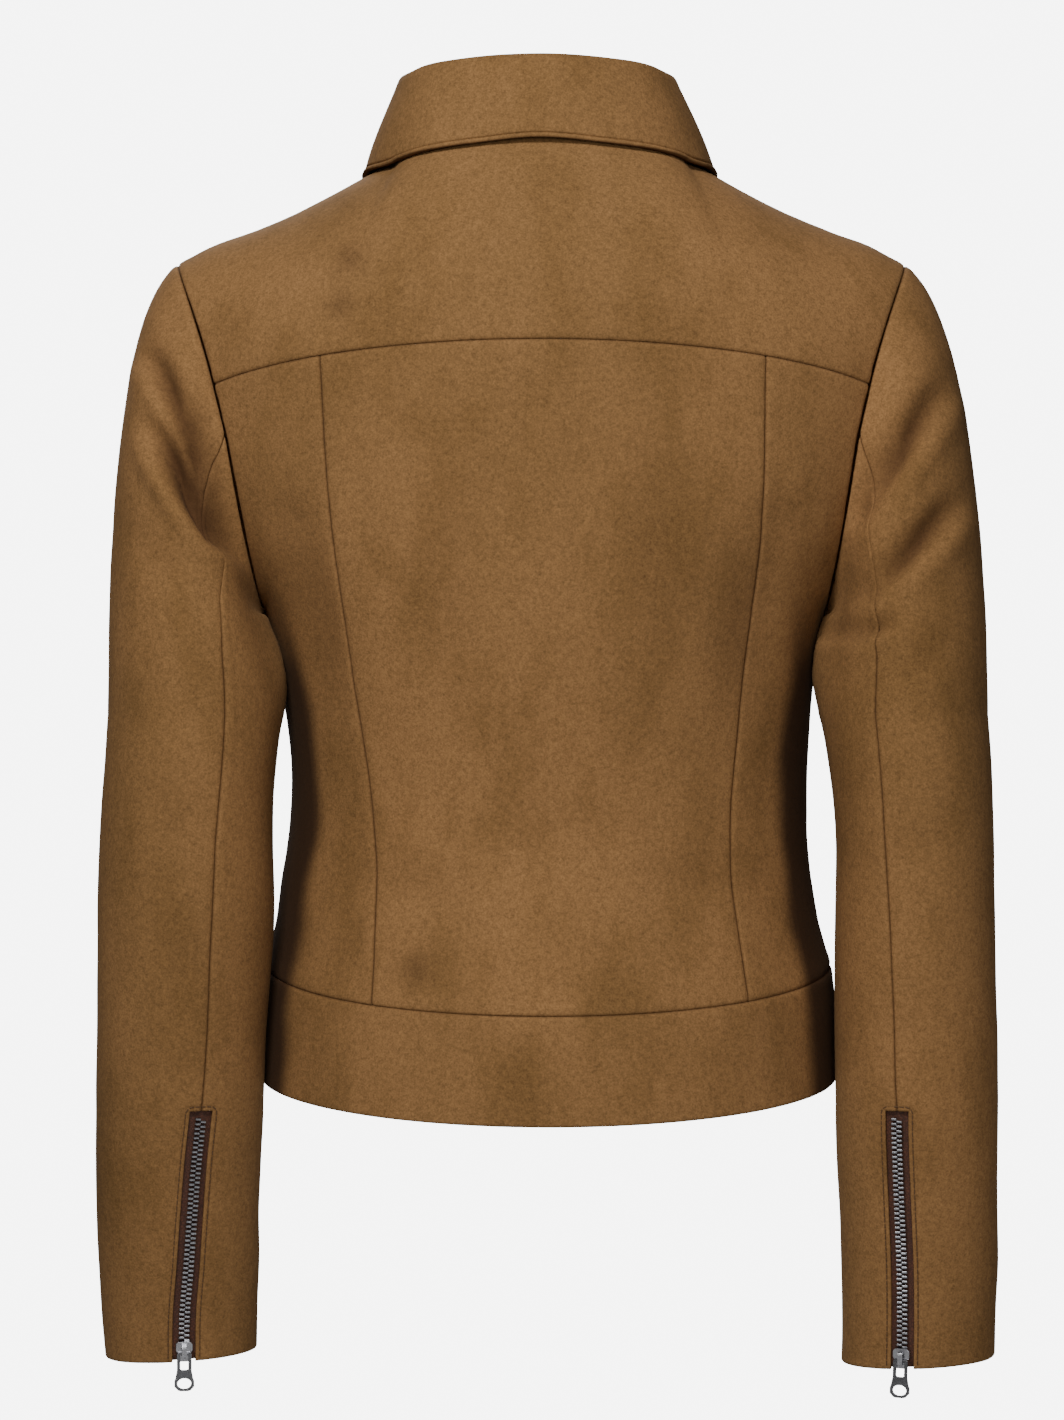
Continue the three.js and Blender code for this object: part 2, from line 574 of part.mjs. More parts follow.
// One line of the collar from its neck edge, over the fold, to the lower edge of the fall.
function collarLine(degrees, side, edge, through, samples) {
  const row = degrees / 30;
  const [foldX, foldY, foldZ, lowX, lowY, lowZ] = [1, 2, 3, 4, 5, 6].map((k) => along(COLLAR, k, row));
  const fold = new THREE.Vector3(side * foldX + COLLAR_SWAY, foldY, foldZ);
  const low = new THREE.Vector3(side * lowX + COLLAR_SWAY / 2, lowY, lowZ);
  const out = low.clone().sub(fold).setZ(0).normalize();
  const up = new THREE.Vector3(0, 0, 1);
  const centre = fold.clone().addScaledVector(up, -FOLD_RADIUS);
  const round = [180, 135, 90, 45, 0].map((a) => centre.clone()
    .addScaledVector(out, FOLD_RADIUS * Math.cos(radians(a)))
    .addScaledVector(up, FOLD_RADIUS * Math.sin(radians(a))));
  const foot = edge.clone().addScaledVector(through, -2);
  const stand = [foot, foot.clone().lerp(round[0], 0.5)];
  const fall = [0.25, 0.5, 0.75, 1].map((f) => {
    const point = round[4].clone().lerp(low, f).addScaledVector(out, COLLAR_BULGE * Math.sin(Math.PI * f));
    return liftOff(point, samples, COLLAR_WALL + COLLAR_LIFT);
  });
  return [...stand, ...round, ...fall];
}

function collarMesh(panels) {
  const samples = shoulderSamples();
  const neck = [];
  const yoke = panels.find((p) => p.name === 'back_yoke');
  const fronts = { [-1]: 'front_right', 1: 'front_left' };
  const take = (source, column, degrees, side) => {
    const lines = source.grid;
    const last = lines.length - 1;
    neck.push({ edge: lines[last][column].clone(), through: source.normals[last][column], degrees, side });
  };
  const frontOf = (side) => panels.find((p) => p.name === fronts[side]);
  for (let c = 0; c < NECK_HALF; c++) take(frontOf(-1), c, 180 - 15 * c, -1);
  for (let c = -NECK_HALF; c <= NECK_HALF; c++) {
    take(yoke, HALF_BACK + c, 15 * Math.abs(c), c < 0 ? -1 : 1);
  }
  for (let c = NECK_HALF - 1; c >= 0; c--) take(frontOf(1), c, 180 - 15 * c, 1);
  const ahead = neck.map((n, i) => {
    const run = neck[Math.min(i + 1, neck.length - 1)].edge.clone().sub(neck[Math.max(i - 1, 0)].edge);
    const step = run.cross(n.through).setLength(COLLAR_GAP);
    return step.dot(n.edge) > 0 ? step.negate() : step;
  });
  neck.forEach((n, i) => n.edge.add(ahead[i]));
  const lines = neck.map((n) => collarLine(n.degrees, n.side, n.edge, n.through, samples));
  const normals = normalsOf(lines);
  const middle = normals[12][lines[0].length - 2];
  if (middle.dot(BACKWARD) < 0) normals.flat().forEach((n) => n.negate());
  neck.forEach((n, i) => normals[i][0].copy(n.through).negate());
  return wallMesh('collar', lines, normals, COLLAR_WALL, suede);
}

// A strip laid along a surface, its points moved out by lift.
function strip(name, grid, outward, lift, wall, material) {
  const laid = panel(name, grid, outward, {});
  const outer = laid.grid.map((line, i) => line.map(
    (p, j) => p.clone().addScaledVector(laid.normals[i][j], lift),
  ));
  return wallMesh(name, outer, laid.normals, wall, material);
}

// Row of the sleeve at a height, counted as sleevePoint counts them.
function ringRowAt(side, z) {
  return rowOf(side > 0 ? RINGS_LEFT : RINGS_RIGHT, z);
}

function cuffPoint(side, row, millimetres) {
  const rings = side > 0 ? RINGS_LEFT : RINGS_RIGHT;
  const degrees = along(rings, 5, row) + THREE.MathUtils.radToDeg(millimetres / along(rings, 2, row));
  return ringPoint(rings, row, degrees, side);
}

function cuffZip(side, suffix) {
  const rings = side > 0 ? RINGS_LEFT : RINGS_RIGHT;
  const hem = rings[rings.length - 1][0];
  const rowAt = (z) => ringRowAt(side, z);
  const tapeRows = [-538, -546, -575, -605, -632, -658, hem + 1].map(rowAt);
  const chainRows = [-547.5, -575, -605, -632, -658, hem + CUFF_SLIDER_UP + 0.3].map(rowAt);
  const at = (row, off) => cuffPoint(side, row, off);
  const tape = gridOf(tapeRows, [-TAPE_HALF, -6.8, 0, 6.8, TAPE_HALF], at);
  const chain = gridOf(chainRows, [-CHAIN_HALF, CHAIN_HALF], at);
  return [
    strip(`cuff_tape_${suffix}`, tape, BACKWARD, -UNDER_SEAT, TAPE_WALL, tapeCloth),
    strip(`cuff_chain_${suffix}`, chain, BACKWARD, CHAIN_PROUD, CHAIN_WALL, nickel),
  ];
}

function frontZip() {
  const last = CHEST + CROWN;
  const tapeRows = [...span(0, last - 1), last - 0.12];
  const chainRows = [0.05, ...span(1, CHEST + 3), FRONT_SLIDER_ROW - 1.15];
  const strips = [];
  for (const [side, suffix] of [[1, 'left'], [-1, 'right']]) {
    const grid = gridOf(tapeRows, [0.2 * side, FRONT_OPENING * side, TAPE_HALF * side], (row, x) => {
      if (Math.abs(x) <= FRONT_OPENING) return placketPoint(row, x);
      const near = frontPoint(row, 0, side);
      const next = frontPoint(row, 1, side);
      return near.lerp(next, (Math.abs(x) - FRONT_OPENING) / Math.abs(next.x - near.x));
    });
    strips.push(strip(`front_tape_${suffix}`, grid, FORWARD, -UNDER_SEAT, TAPE_WALL, tapeCloth));
  }
  const chain = gridOf(chainRows, [-CHAIN_HALF, CHAIN_HALF], placketPoint);
  strips.push(strip('front_chain', chain, FORWARD, CHAIN_PROUD, CHAIN_WALL, nickel));
  return strips;
}

// Axes of a slider: across, outwards and up the chain, with the slider's upper end at the origin.
function sliderFrame(upper, lower, across) {
  const up = upper.clone().sub(lower).normalize();
  const out = across.clone().cross(up).normalize();
  const sideways = up.clone().cross(out).negate().normalize();
  return new THREE.Matrix4().makeBasis(sideways, out, up).setPosition(upper);
}

function extruded(shape, depth) {
  return new THREE.ExtrudeGeometry(shape, { depth, bevelEnabled: false, curveSegments: 6 });
}

function outline(points) {
  const corners = points.map(([x, y]) => new THREE.Vector2(x, y));
  return new THREE.Shape(THREE.ShapeUtils.isClockWise(corners) ? corners.reverse() : corners);
}

// A slider's plate and bridge, made in its own axes: x across, y out, z up.
function sliderGeometry(solid) {
  const half = SLIDER.wide / 2;
  const plan = outline([
    [-half, -1.2], [-half + 1.2, 0], [half - 1.2, 0], [half, -1.2], [half, -4.5],
    [half - 1.3, -7.5], [half - 1.3, -SLIDER.long], [-half + 1.3, -SLIDER.long],
    [-half + 1.3, -7.5], [-half, -4.5],
  ]);
  const plate = extruded(plan, SLIDER.high - SLIDER.low)
    .rotateX(Math.PI / 2).applyMatrix4(new THREE.Matrix4().makeTranslation(0, SLIDER.high, 0));
  const { from, to, leg, top, under } = BRIDGE;
  const arch = outline([
    [SLIDER.high - 0.4, -from], [top - 1, -from], [top, -from - 1], [top, -to + 1], [top - 1, -to],
    [SLIDER.high - 0.4, -to], [SLIDER.high - 0.4, -to + leg], [under, -to + leg],
    [under, -from - leg], [SLIDER.high - 0.4, -from - leg],
  ]);
  const bridge = extruded(arch, BRIDGE.wide)
    .applyMatrix4(new THREE.Matrix4().makeBasis(
      new THREE.Vector3(0, 1, 0), new THREE.Vector3(0, 0, 1), new THREE.Vector3(1, 0, 0),
    )).translate(-BRIDGE.wide / 2, 0, 0);
  return fromSolid(solid(plate).add(solid(bridge)));
}

// A pull tab in the same axes: a bar under the bridge, a window, a plate and a ring hole.
function pullGeometry() {
  const half = PULL.wide / 2;
  const top = -PULL.axisDown + PULL.bar / 2;
  const wide = PULL.ringWide / 2;
  const shape = outline([
    [-half + 0.6, top], [half - 0.6, top], [half, top - 0.6], [half, -WINDOW.to], [wide - 0.6, -19.5],
    [wide, -21], [wide, -24], [wide - 2, -PULL.end + 0.4], [wide - 3.4, -PULL.end],
    [-wide + 3.4, -PULL.end], [-wide + 2, -PULL.end + 0.4], [-wide, -24], [-wide, -21],
    [-wide + 0.6, -19.5], [-half, -WINDOW.to], [-half, top - 0.6],
  ]);
  const w = WINDOW.wide / 2;
  shape.holes.push(new THREE.Path([
    [-w, -PULL.axisDown - PULL.bar / 2], [w, -PULL.axisDown - PULL.bar / 2],
    [w, -WINDOW.to + 0.6], [w - 0.8, -WINDOW.to + 0.1],
    [-w + 0.8, -WINDOW.to + 0.1], [-w, -WINDOW.to + 0.6],
  ].map(([x, y]) => new THREE.Vector2(x, y))));
  shape.holes.push(new THREE.Path(range(13).map((i) => {
    const a = 2 * Math.PI * i / 14;
    const [x, y] = [RING_HOLE.wide / 2 * Math.cos(a), RING_HOLE.high / 2 * Math.sin(a)];
    return new THREE.Vector2(x, y - RING_HOLE.down);
  })));
  return extruded(shape, PULL.bar).rotateX(Math.PI / 2)
    .applyMatrix4(new THREE.Matrix4().makeTranslation(0, PULL.axisOut + PULL.bar / 2, 0));
}

// Turns a pull about its bar until it hangs straight down, or lies along cloth that slopes outwards.
function hanging(frame) {
  const [out, up] = [1, 2].map((k) => new THREE.Vector3().setFromMatrixColumn(frame, k));
  const angle = Math.max(0, Math.atan2(-out.z, up.z));
  return new THREE.Matrix4().makeTranslation(0, PULL.axisOut, -PULL.axisDown)
    .multiply(new THREE.Matrix4().makeRotationX(angle))
    .multiply(new THREE.Matrix4().makeTranslation(0, -PULL.axisOut, PULL.axisDown));
}

function fromSolid(result) {
  const mesh = result.getMesh();
  const geometry = new THREE.BufferGeometry();
  const positions = [];
  for (let i = 0; i < mesh.vertProperties.length; i += mesh.numProp) {
    positions.push(mesh.vertProperties[i], mesh.vertProperties[i + 1], mesh.vertProperties[i + 2]);
  }
  geometry.setAttribute('position', new THREE.Float32BufferAttribute(positions, 3));
  geometry.setIndex(Array.from(mesh.triVerts));
  return geometry;
}

function placed(name, geometry, frame) {
  const copy = geometry.clone().applyMatrix4(frame);
  const position = copy.getAttribute('position');
  const points = range(position.count - 1).map((i) => new THREE.Vector3().fromBufferAttribute(position, i));
  const faces = copy.index ? Array.from(copy.index.array) : range(position.count - 1);
  return meshOf(name, points, faces, nickel);
}

function sliders(solid) {
  const slider = sliderGeometry(solid);
  const pull = pullGeometry();
  const frames = [];
  for (const [side, suffix] of [[1, 'left'], [-1, 'right']]) {
    const rings = side > 0 ? RINGS_LEFT : RINGS_RIGHT;
    const upperZ = rings[rings.length - 1][0] + CUFF_SLIDER_UP;
    const upper = cuffPoint(side, ringRowAt(side, upperZ), 0);
    const lower = cuffPoint(side, ringRowAt(side, upperZ - SLIDER.long), 0);
    const across = cuffPoint(side, ringRowAt(side, upperZ), -4 * side)
      .sub(cuffPoint(side, ringRowAt(side, upperZ), 4 * side));
    frames.push([`cuff_slider_${suffix}`, `cuff_pull_${suffix}`, sliderFrame(upper, lower, across)]);
  }
  const upper = placketPoint(FRONT_SLIDER_ROW, 0);
  const lower = placketPoint(FRONT_SLIDER_ROW - 0.8, 0);
  frames.push(['front_slider', 'front_pull', sliderFrame(upper, lower, new THREE.Vector3(1, 0, 0))]);
  return frames.flatMap(([body, tab, frame]) => [
    placed(body, slider, frame), placed(tab, pull, frame.clone().multiply(hanging(frame))),
  ]);
}

const wasm = await Module();
wasm.setup();

function solidOf(geometry) {
  const position = geometry.getAttribute('position');
  const vertProperties = new Float32Array(position.array);
  const count = position.count;
  const triVerts = geometry.index ? new Uint32Array(geometry.index.array)
    : new Uint32Array(range(count - 1));
  const mesh = new wasm.Mesh({ numProp: 3, vertProperties, triVerts });
  mesh.merge();
  return new wasm.Manifold(mesh);
}

function jacket() {
  const group = new THREE.Group();
  group.name = 'suede_jacket';
  const panels = [
    ...backPanels(), ...frontPanels(1, 'left'), ...frontPanels(-1, 'right'),
    ...sleevePanels(1, 'left'), ...sleevePanels(-1, 'right'),
  ];
  shareNormals(panels);
  panels.filter((p) => p.name.startsWith('sleeve')).forEach((p) => p.grid[0].forEach((point) => {
    point.x += Math.sign(point.x) * ARMHOLE_GAP;
  }));
  panels.forEach(insetEdges);
  panels.forEach((p) => group.add(wallMesh(p.name, p.grid, p.normals, SUEDE, suede)));
  group.add(collarMesh(panels));
  [...cuffZip(1, 'left'), ...cuffZip(-1, 'right'), ...frontZip(), ...sliders(solidOf)]
    .forEach((mesh) => group.add(mesh));
  return group;
}

const group = jacket();
export default group;
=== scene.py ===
"""Looks of a suede jacket that hangs in the air as if worn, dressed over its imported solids."""

import logging
import math
from dataclasses import dataclass
from enum import Enum
from typing import Callable, Sequence

import bmesh
import bpy
import numpy as np
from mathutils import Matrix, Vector, noise
from mathutils.kdtree import KDTree


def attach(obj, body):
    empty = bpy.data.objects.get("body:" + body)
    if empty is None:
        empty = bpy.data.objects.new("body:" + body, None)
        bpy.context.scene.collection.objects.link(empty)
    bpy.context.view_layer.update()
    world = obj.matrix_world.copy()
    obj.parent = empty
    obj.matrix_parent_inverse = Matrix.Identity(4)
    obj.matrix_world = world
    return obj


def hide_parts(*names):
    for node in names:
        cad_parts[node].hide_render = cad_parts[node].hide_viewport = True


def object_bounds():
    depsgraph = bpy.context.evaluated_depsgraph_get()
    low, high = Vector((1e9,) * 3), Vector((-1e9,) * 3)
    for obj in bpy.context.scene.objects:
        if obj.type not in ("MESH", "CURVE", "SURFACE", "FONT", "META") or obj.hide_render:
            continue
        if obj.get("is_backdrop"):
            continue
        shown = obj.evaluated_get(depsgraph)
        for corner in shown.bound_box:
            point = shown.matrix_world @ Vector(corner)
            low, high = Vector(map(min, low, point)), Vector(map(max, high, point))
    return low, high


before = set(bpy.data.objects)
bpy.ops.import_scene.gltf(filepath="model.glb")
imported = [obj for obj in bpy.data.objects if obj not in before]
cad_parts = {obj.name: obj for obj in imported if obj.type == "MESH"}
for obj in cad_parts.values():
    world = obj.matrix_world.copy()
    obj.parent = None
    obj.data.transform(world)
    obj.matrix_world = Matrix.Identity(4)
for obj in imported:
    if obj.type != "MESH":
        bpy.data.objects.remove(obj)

log = logging.getLogger("jacket")

Array = np.ndarray
Shape = Callable[[Array, Array], Array]

# Shapes are worked out in millimetres, +Z up, back at +Y, the wearer's left at +X.
MM = 0.001
BODY = "jacket"
SIDES = {1: "left", -1: "right"}

SUEDE_WALL = 1.6
COLLAR_WALL = 2.6
TAPE_WALL = 0.8
TAPE_SEAT = 2.2  # outer face of a zip tape, below the suede's outer face
CELL = 3.8  # size of a panel's mesh cells
SEAM_STOPS = (0.5, 1.1, 2.0, 3.2, 5.0)  # mesh lines beside a seam or an edge
LIP_STOPS = (0.4, 0.9, 1.5, 2.0, 2.35, 2.6, 2.9, 3.3, 4.0, 5.4)  # beside the collar's rolled edge
LIP_AT = 2.6  # the line above the collar's rolled edge
# How far off the body's edge a sleeve starts, by ring column: at the front it is tucked under.
ARMHOLE_GAPS = ((0, 13, 15, 22, 24), (0.2, 0.2, -1.8, -1.8, 0.2))
SLEEVE_CLEAR = 0.9  # least air between a sleeve and the side of the body
LEAN = 9.0  # how far a sleeve leans on the body under the arm
LEAN_AT = (22.0, 24.0, -296.0, 26.0)  # y and half depth, z and half height of that place
FRONT_OPENING = 6.0
TAPE_HALF = 14.0

# One row per level of the torso, hem first. x and y are where the row ends, at the side seam or
# the armhole, and angle is how far round the section that end lies, in degrees.
COLUMNS = ("side", "backX", "backY", "backAngle", "backMid", "backMidZ", "frontX", "frontY",
           "frontAngle", "frontMid", "frontMidZ", "sway", "princessLeft", "princessRight")
TORSO = np.array([
    [-530.5, 162, -3, 90, 118, -549, 162, -3, 90, -117, -544, -4, 93, 113],
    [-510, 161.2, -3, 90, 117, -529.5, 161.2, -3, 90, -117, -525, -4, 92.6, 112.7],
    [-490, 160.2, -3, 90, 115, -510, 160.2, -3, 90, -116.5, -505.5, -4, 92.3, 112.3],
    [-469.5, 157.6, -3, 90, 112, -490.5, 157.6, -3, 90, -116, -486, -3.8, 92, 112],
    [-446, 151.8, -3, 90, 105, -464, 151.8, -3, 90, -115, -460, -3.3, 90.8, 108.5],
    [-423, 148.3, -3, 90, 99, -437.5, 148.3, -3, 90, -114, -434, -2.9, 90, 104.5],
    [-399, 145.2, -3, 90, 94.5, -410.5, 145.2, -3, 90, -113.5, -407.5, -3.6, 90.2, 102],
    [-375, 144.1, -3, 90, 92.5, -383.5, 144.1, -3, 90, -114, -381, -4.5, 91.5, 102.7],
    [-351, 144.8, -3, 90, 95.5, -357, 144.8, -3, 90, -116, -355, -4.4, 95.5, 105],
    [-326, 147.2, -3, 90, 101, -329.5, 147.2, -3, 90, -119, -328, -3.6, 99.7, 108.5],
    [-300, 151.3, -3, 90, 106.5, -301, 151.3, -3, 90, -123, -301, -2.6, 104, 112.5],
    [-275, 155.7, -2, 90, 110.5, -274, 155.7, -2, 90, -126, -275, -1.8, 107.8, 115.5],
    [-268, 157, 19, 82, 111.2, -266.5, 155.6, -20, 82, -126.6, -268, -1.6, 109, 117],
    [-254, 159.6, 34, 76, 112, -251, 156, -34, 76, -127, -254, -1.3, 111, 118.5],
    [-232, 163.4, 48, 70, 112.8, -226, 157.3, -45, 70, -127, -232, -0.9, 113.5, 119.6],
    [-206, 167.7, 56, 66, 113, -196, 159.8, -52, 66, -126, -206, -0.5, 116.5, 120],
    [-178, 172.5, 59, 63, 112.3, -164, 163.8, -54, 63, -123.5, -178, -0.2, 118, 120],
    [-150, 179, 57, 61, 110.5, -130, 170, -52, 61, -119, -150, 0, 119.5, 120.6],
], dtype=float)
BAND_TOP = 3  # row of the waistband seam
UNDERARM = 11  # row where the armhole starts
CHEST = 17  # row of the yoke seam
CROWN = 6  # rows from there up to the neck and shoulder seams
HALF_BACK = 12
PRINCESS = 7
NECK_HALF = 6
FRONT_COLUMNS = 12

# Shoulder seam from the neck point to the armhole: x, z.
SHOULDER = np.array([
    [76, -16], [97, -27.5], [119, -39.5], [141, -50.2], [162, -58.6], [184, -66.5], [204, -77.5],
], dtype=float)
SHOULDER_Y = -12.0
TORSO_SIDE = COLUMNS.index("backX")
TORSO_SWAY = COLUMNS.index("sway")
SIDE_SHADE_REACH = 22.0  # how far round from the side the painted shade under the arms reaches
SIDE_SHADE_FADE = 9.0
PIN_REACH = 16.0  # how far from an armhole the folds fade out
SMUDGES = np.array([[104, -84, 8], [108, -110, 7], [68, -466, 9]])  # x, z and size on the back
SIDE_SHADE_TOP = -262.0  # height under which the body's sides get painted shade
SIDE_SHADE_RISE = 45.0  # and over how much they do
HOLLOW_FULL = 9.5  # depth of a fold whose painted shade is full
HOLLOW_POWER = 1.25  # how closely the painted shade keeps to the deepest part
EASE = 30.0  # height over which the sections of the torso are averaged
EASE_SHARES = ((-1, 0.1), (-0.66, 0.15), (-0.33, 0.16), (0, 0.18), (0.33, 0.16), (0.66, 0.15), (1, 0.1))

# Collar by angle round the neck, 0 at the centre back: the top of its fold, then its lower edge.
COLLAR = np.array([
    [0, 0, 57.5, 30.8, 0, 73.5, -16.5],
    [30, 38, 49, 30.2, 41, 65, -21.5],
    [60, 66, 26, 28, 74, 43, -30],
    [90, 77.8, -10, 21, 95, 3, -33.5],
    [120, 68.5, -52, -9, 88, -62, -50],
    [150, 42, -84, -41, 62, -106, -92],
    [180, 10, -100, -57, 27, -122, -122],
], dtype=float)
COLLAR_ROUND = np.vstack([COLLAR[1] * np.array([-1, -1, 1, 1, -1, 1, 1]), COLLAR])
COLLAR_SWAY = 2.2
FOLD_RADIUS = 3.6
COLLAR_BULGE = 2.0  # how far the fall bows out, half way down
COLLAR_SPREAD = 14.0  # degrees over which its lower edge is evened out
COLLAR_LIFT = 0.9

# Sleeve rings by level, upper first: z, centre x, half width, centre y, half depth, angle of the
# elbow seam from the side that faces the body, and how much lower the outer side lies.
RINGS = {
    1: np.array([
        [-330, 191.3, 47.8, 32, 57, 64, 0], [-352, 192.8, 47.3, 36, 55, 63, 0],
        [-376, 194.5, 47, 38, 53.5, 63, 0], [-402, 195.4, 47.6, 38.5, 53, 65, 0],
        [-436, 195.5, 48.6, 38, 52, 67.5, 0], [-470, 196.6, 47.9, 37, 50.5, 68, 0],
        [-505, 197.9, 47, 36, 48.5, 68, 0], [-535, 198.9, 46.4, 34.5, 46.8, 69.5, 0],
        [-544.5, 199.1, 46.2, 33.8, 46.3, 70.5, 0], [-546.5, 199.1, 46.2, 33.6, 46.2, 70.8, 0],
        [-575, 200.2, 45.7, 30.5, 44.5, 73.5, 0], [-605, 200.8, 45.1, 27, 43.3, 76, 0.3],
        [-632, 200.4, 44.6, 23.5, 42.3, 79.3, 0.9], [-658, 200.5, 43.4, 20.5, 41.3, 82, 1.7],
        [-683.5, 199.7, 42.4, 18, 40.5, 83.7, 2.5],
    ], dtype=float),
    -1: np.array([
        [-330, 200.2, 45.8, 32, 57, 63, 0], [-352, 202.3, 44.9, 36, 55, 62, 0],
        [-376, 204.2, 43.8, 38, 53.5, 61, 0], [-402, 205.2, 43.3, 38.5, 53, 61, 0],
        [-436, 205.2, 43.8, 38, 52, 65, 0], [-470, 205.4, 44.5, 37, 50.5, 67.5, 0],
        [-505, 205.8, 44.9, 36, 48.5, 69, 0], [-535, 206.3, 44.8, 34.5, 46.8, 70, 0],
        [-544.5, 206.5, 44.7, 33.8, 46.3, 70.5, 0], [-546.5, 206.5, 44.7, 33.6, 46.2, 70.5, 0],
        [-575, 207.1, 44.4, 30.5, 44.5, 71, 0], [-605, 208.2, 43.9, 27, 43.3, 71.5, -0.2],
        [-632, 209.2, 43.7, 23.5, 42.3, 72, -0.7], [-658, 209.2, 42.9, 20.5, 41.3, 72.5, -1.4],
        [-687, 208.8, 42.7, 18, 40.5, 73, -2],
    ], dtype=float),
}
RING_COLUMNS = 24
CAP_ROWS = 12
SLOT_ROW = 9
SLOT_HALF = 6.5  # half the cuff opening
SLOT_STOPS = (*SEAM_STOPS, SLOT_HALF, 6.9, 7.5, 8.3, 9.0, 10.2, 12.0)  # mesh lines beside the elbow seam
SHOULDER_COLUMN = 12
ELBOW_COLUMN = 5
INNER_COLUMN = 21
INNER_ANGLE = 312
# Columns by which the elbow seam moves towards the body, by rows under the armhole.
SEAM_SHIFT_ROWS = (0, 1, 2, 4, 6, 7, 8, 10)
SEAM_SHIFT = {1: (0, 0.25, 0.35, 0.5, 0.7, 0.5, 0.2, 0), -1: (0, 0.3, 0.5, 0.75, 0.65, 0.5, 0.3, 0)}

# Which way a sleeve leaves the armhole, by ring column: x, y, z.
CAP_START = np.array([
    [0, 2, 10, -30], [3, 36, 36, -34], [6, 72, 44, -42], [9, 88, 26, -60], [12, 98, 0, -66],
    [15, 88, -22, -60], [18, 72, -38, -42], [21, 42, -30, -34], [24, 2, 10, -30],
], dtype=float)


def along(table: Array, column: int, row: Array) -> Array:
    """Read a column of a table at rows that may lie between two, along a smooth curve.

    Args:
        table: One row of numbers per station.
        column: Which number of the rows to read.
        row: Stations, with fractions.

    Returns:
        The values, in the shape of row.
    """
    values = table[:, column]
    last = len(values) - 1
    i = np.clip(np.floor(row).astype(int), 0, last - 1)
    f = row - i

    def pick(k: Array) -> Array:
        """Value of a station, the end ones repeated past the ends."""
        return values[np.clip(k, 0, last)]

    def slope(k: Array) -> Array:
        """Slope at a station."""
        return (pick(k + 1) - pick(k - 1)) / np.where((k <= 0) | (k >= last), 1, 2)

    f2, f3 = f * f, f * f * f
    return ((2 * f3 - 3 * f2 + 1) * pick(i) + (f3 - 2 * f2 + f) * slope(i)
            + (3 * f2 - 2 * f3) * pick(i + 1) + (f3 - f2) * slope(i + 1))


def stack(x: Array, y: Array, z: Array) -> Array:
    """Join three coordinates, each broadcast to one shape, into points."""
    return np.stack(np.broadcast_arrays(x, y, z), axis=-1).astype(float)


def length_of(vectors: Array) -> Array:
    """Lengths of vectors, kept as a last axis of one."""
    return np.maximum(np.linalg.norm(vectors, axis=-1, keepdims=True), 1e-9)


def hermite(start: Array, end: Array, leave: Array, arrive: Array, share: Array) -> Array:
    """Points of a curve that leaves one point and arrives at another.

    Args:
        start: First points.
        end: Last points.
        leave: Direction and pull at the first points.
        arrive: Direction and pull at the last points.
        share: How far along, 0 to 1.

    Returns:
        The points.
    """
    s = share[..., None]
    s2, s3 = s * s, s * s * s
    return (start * (2 * s3 - 3 * s2 + 1) + leave * (s3 - 2 * s2 + s)
            + end * (3 * s2 - 2 * s3) + arrive * (s3 - s2))


def smooth(share: Array) -> Array:
    """Ease a share from 0 to 1 in and out."""
    return share * share * (3 - 2 * share)


def mixed(a: Array, b: Array, share: Array) -> Array:
    """Blend two values."""
    return a + (b - a) * share


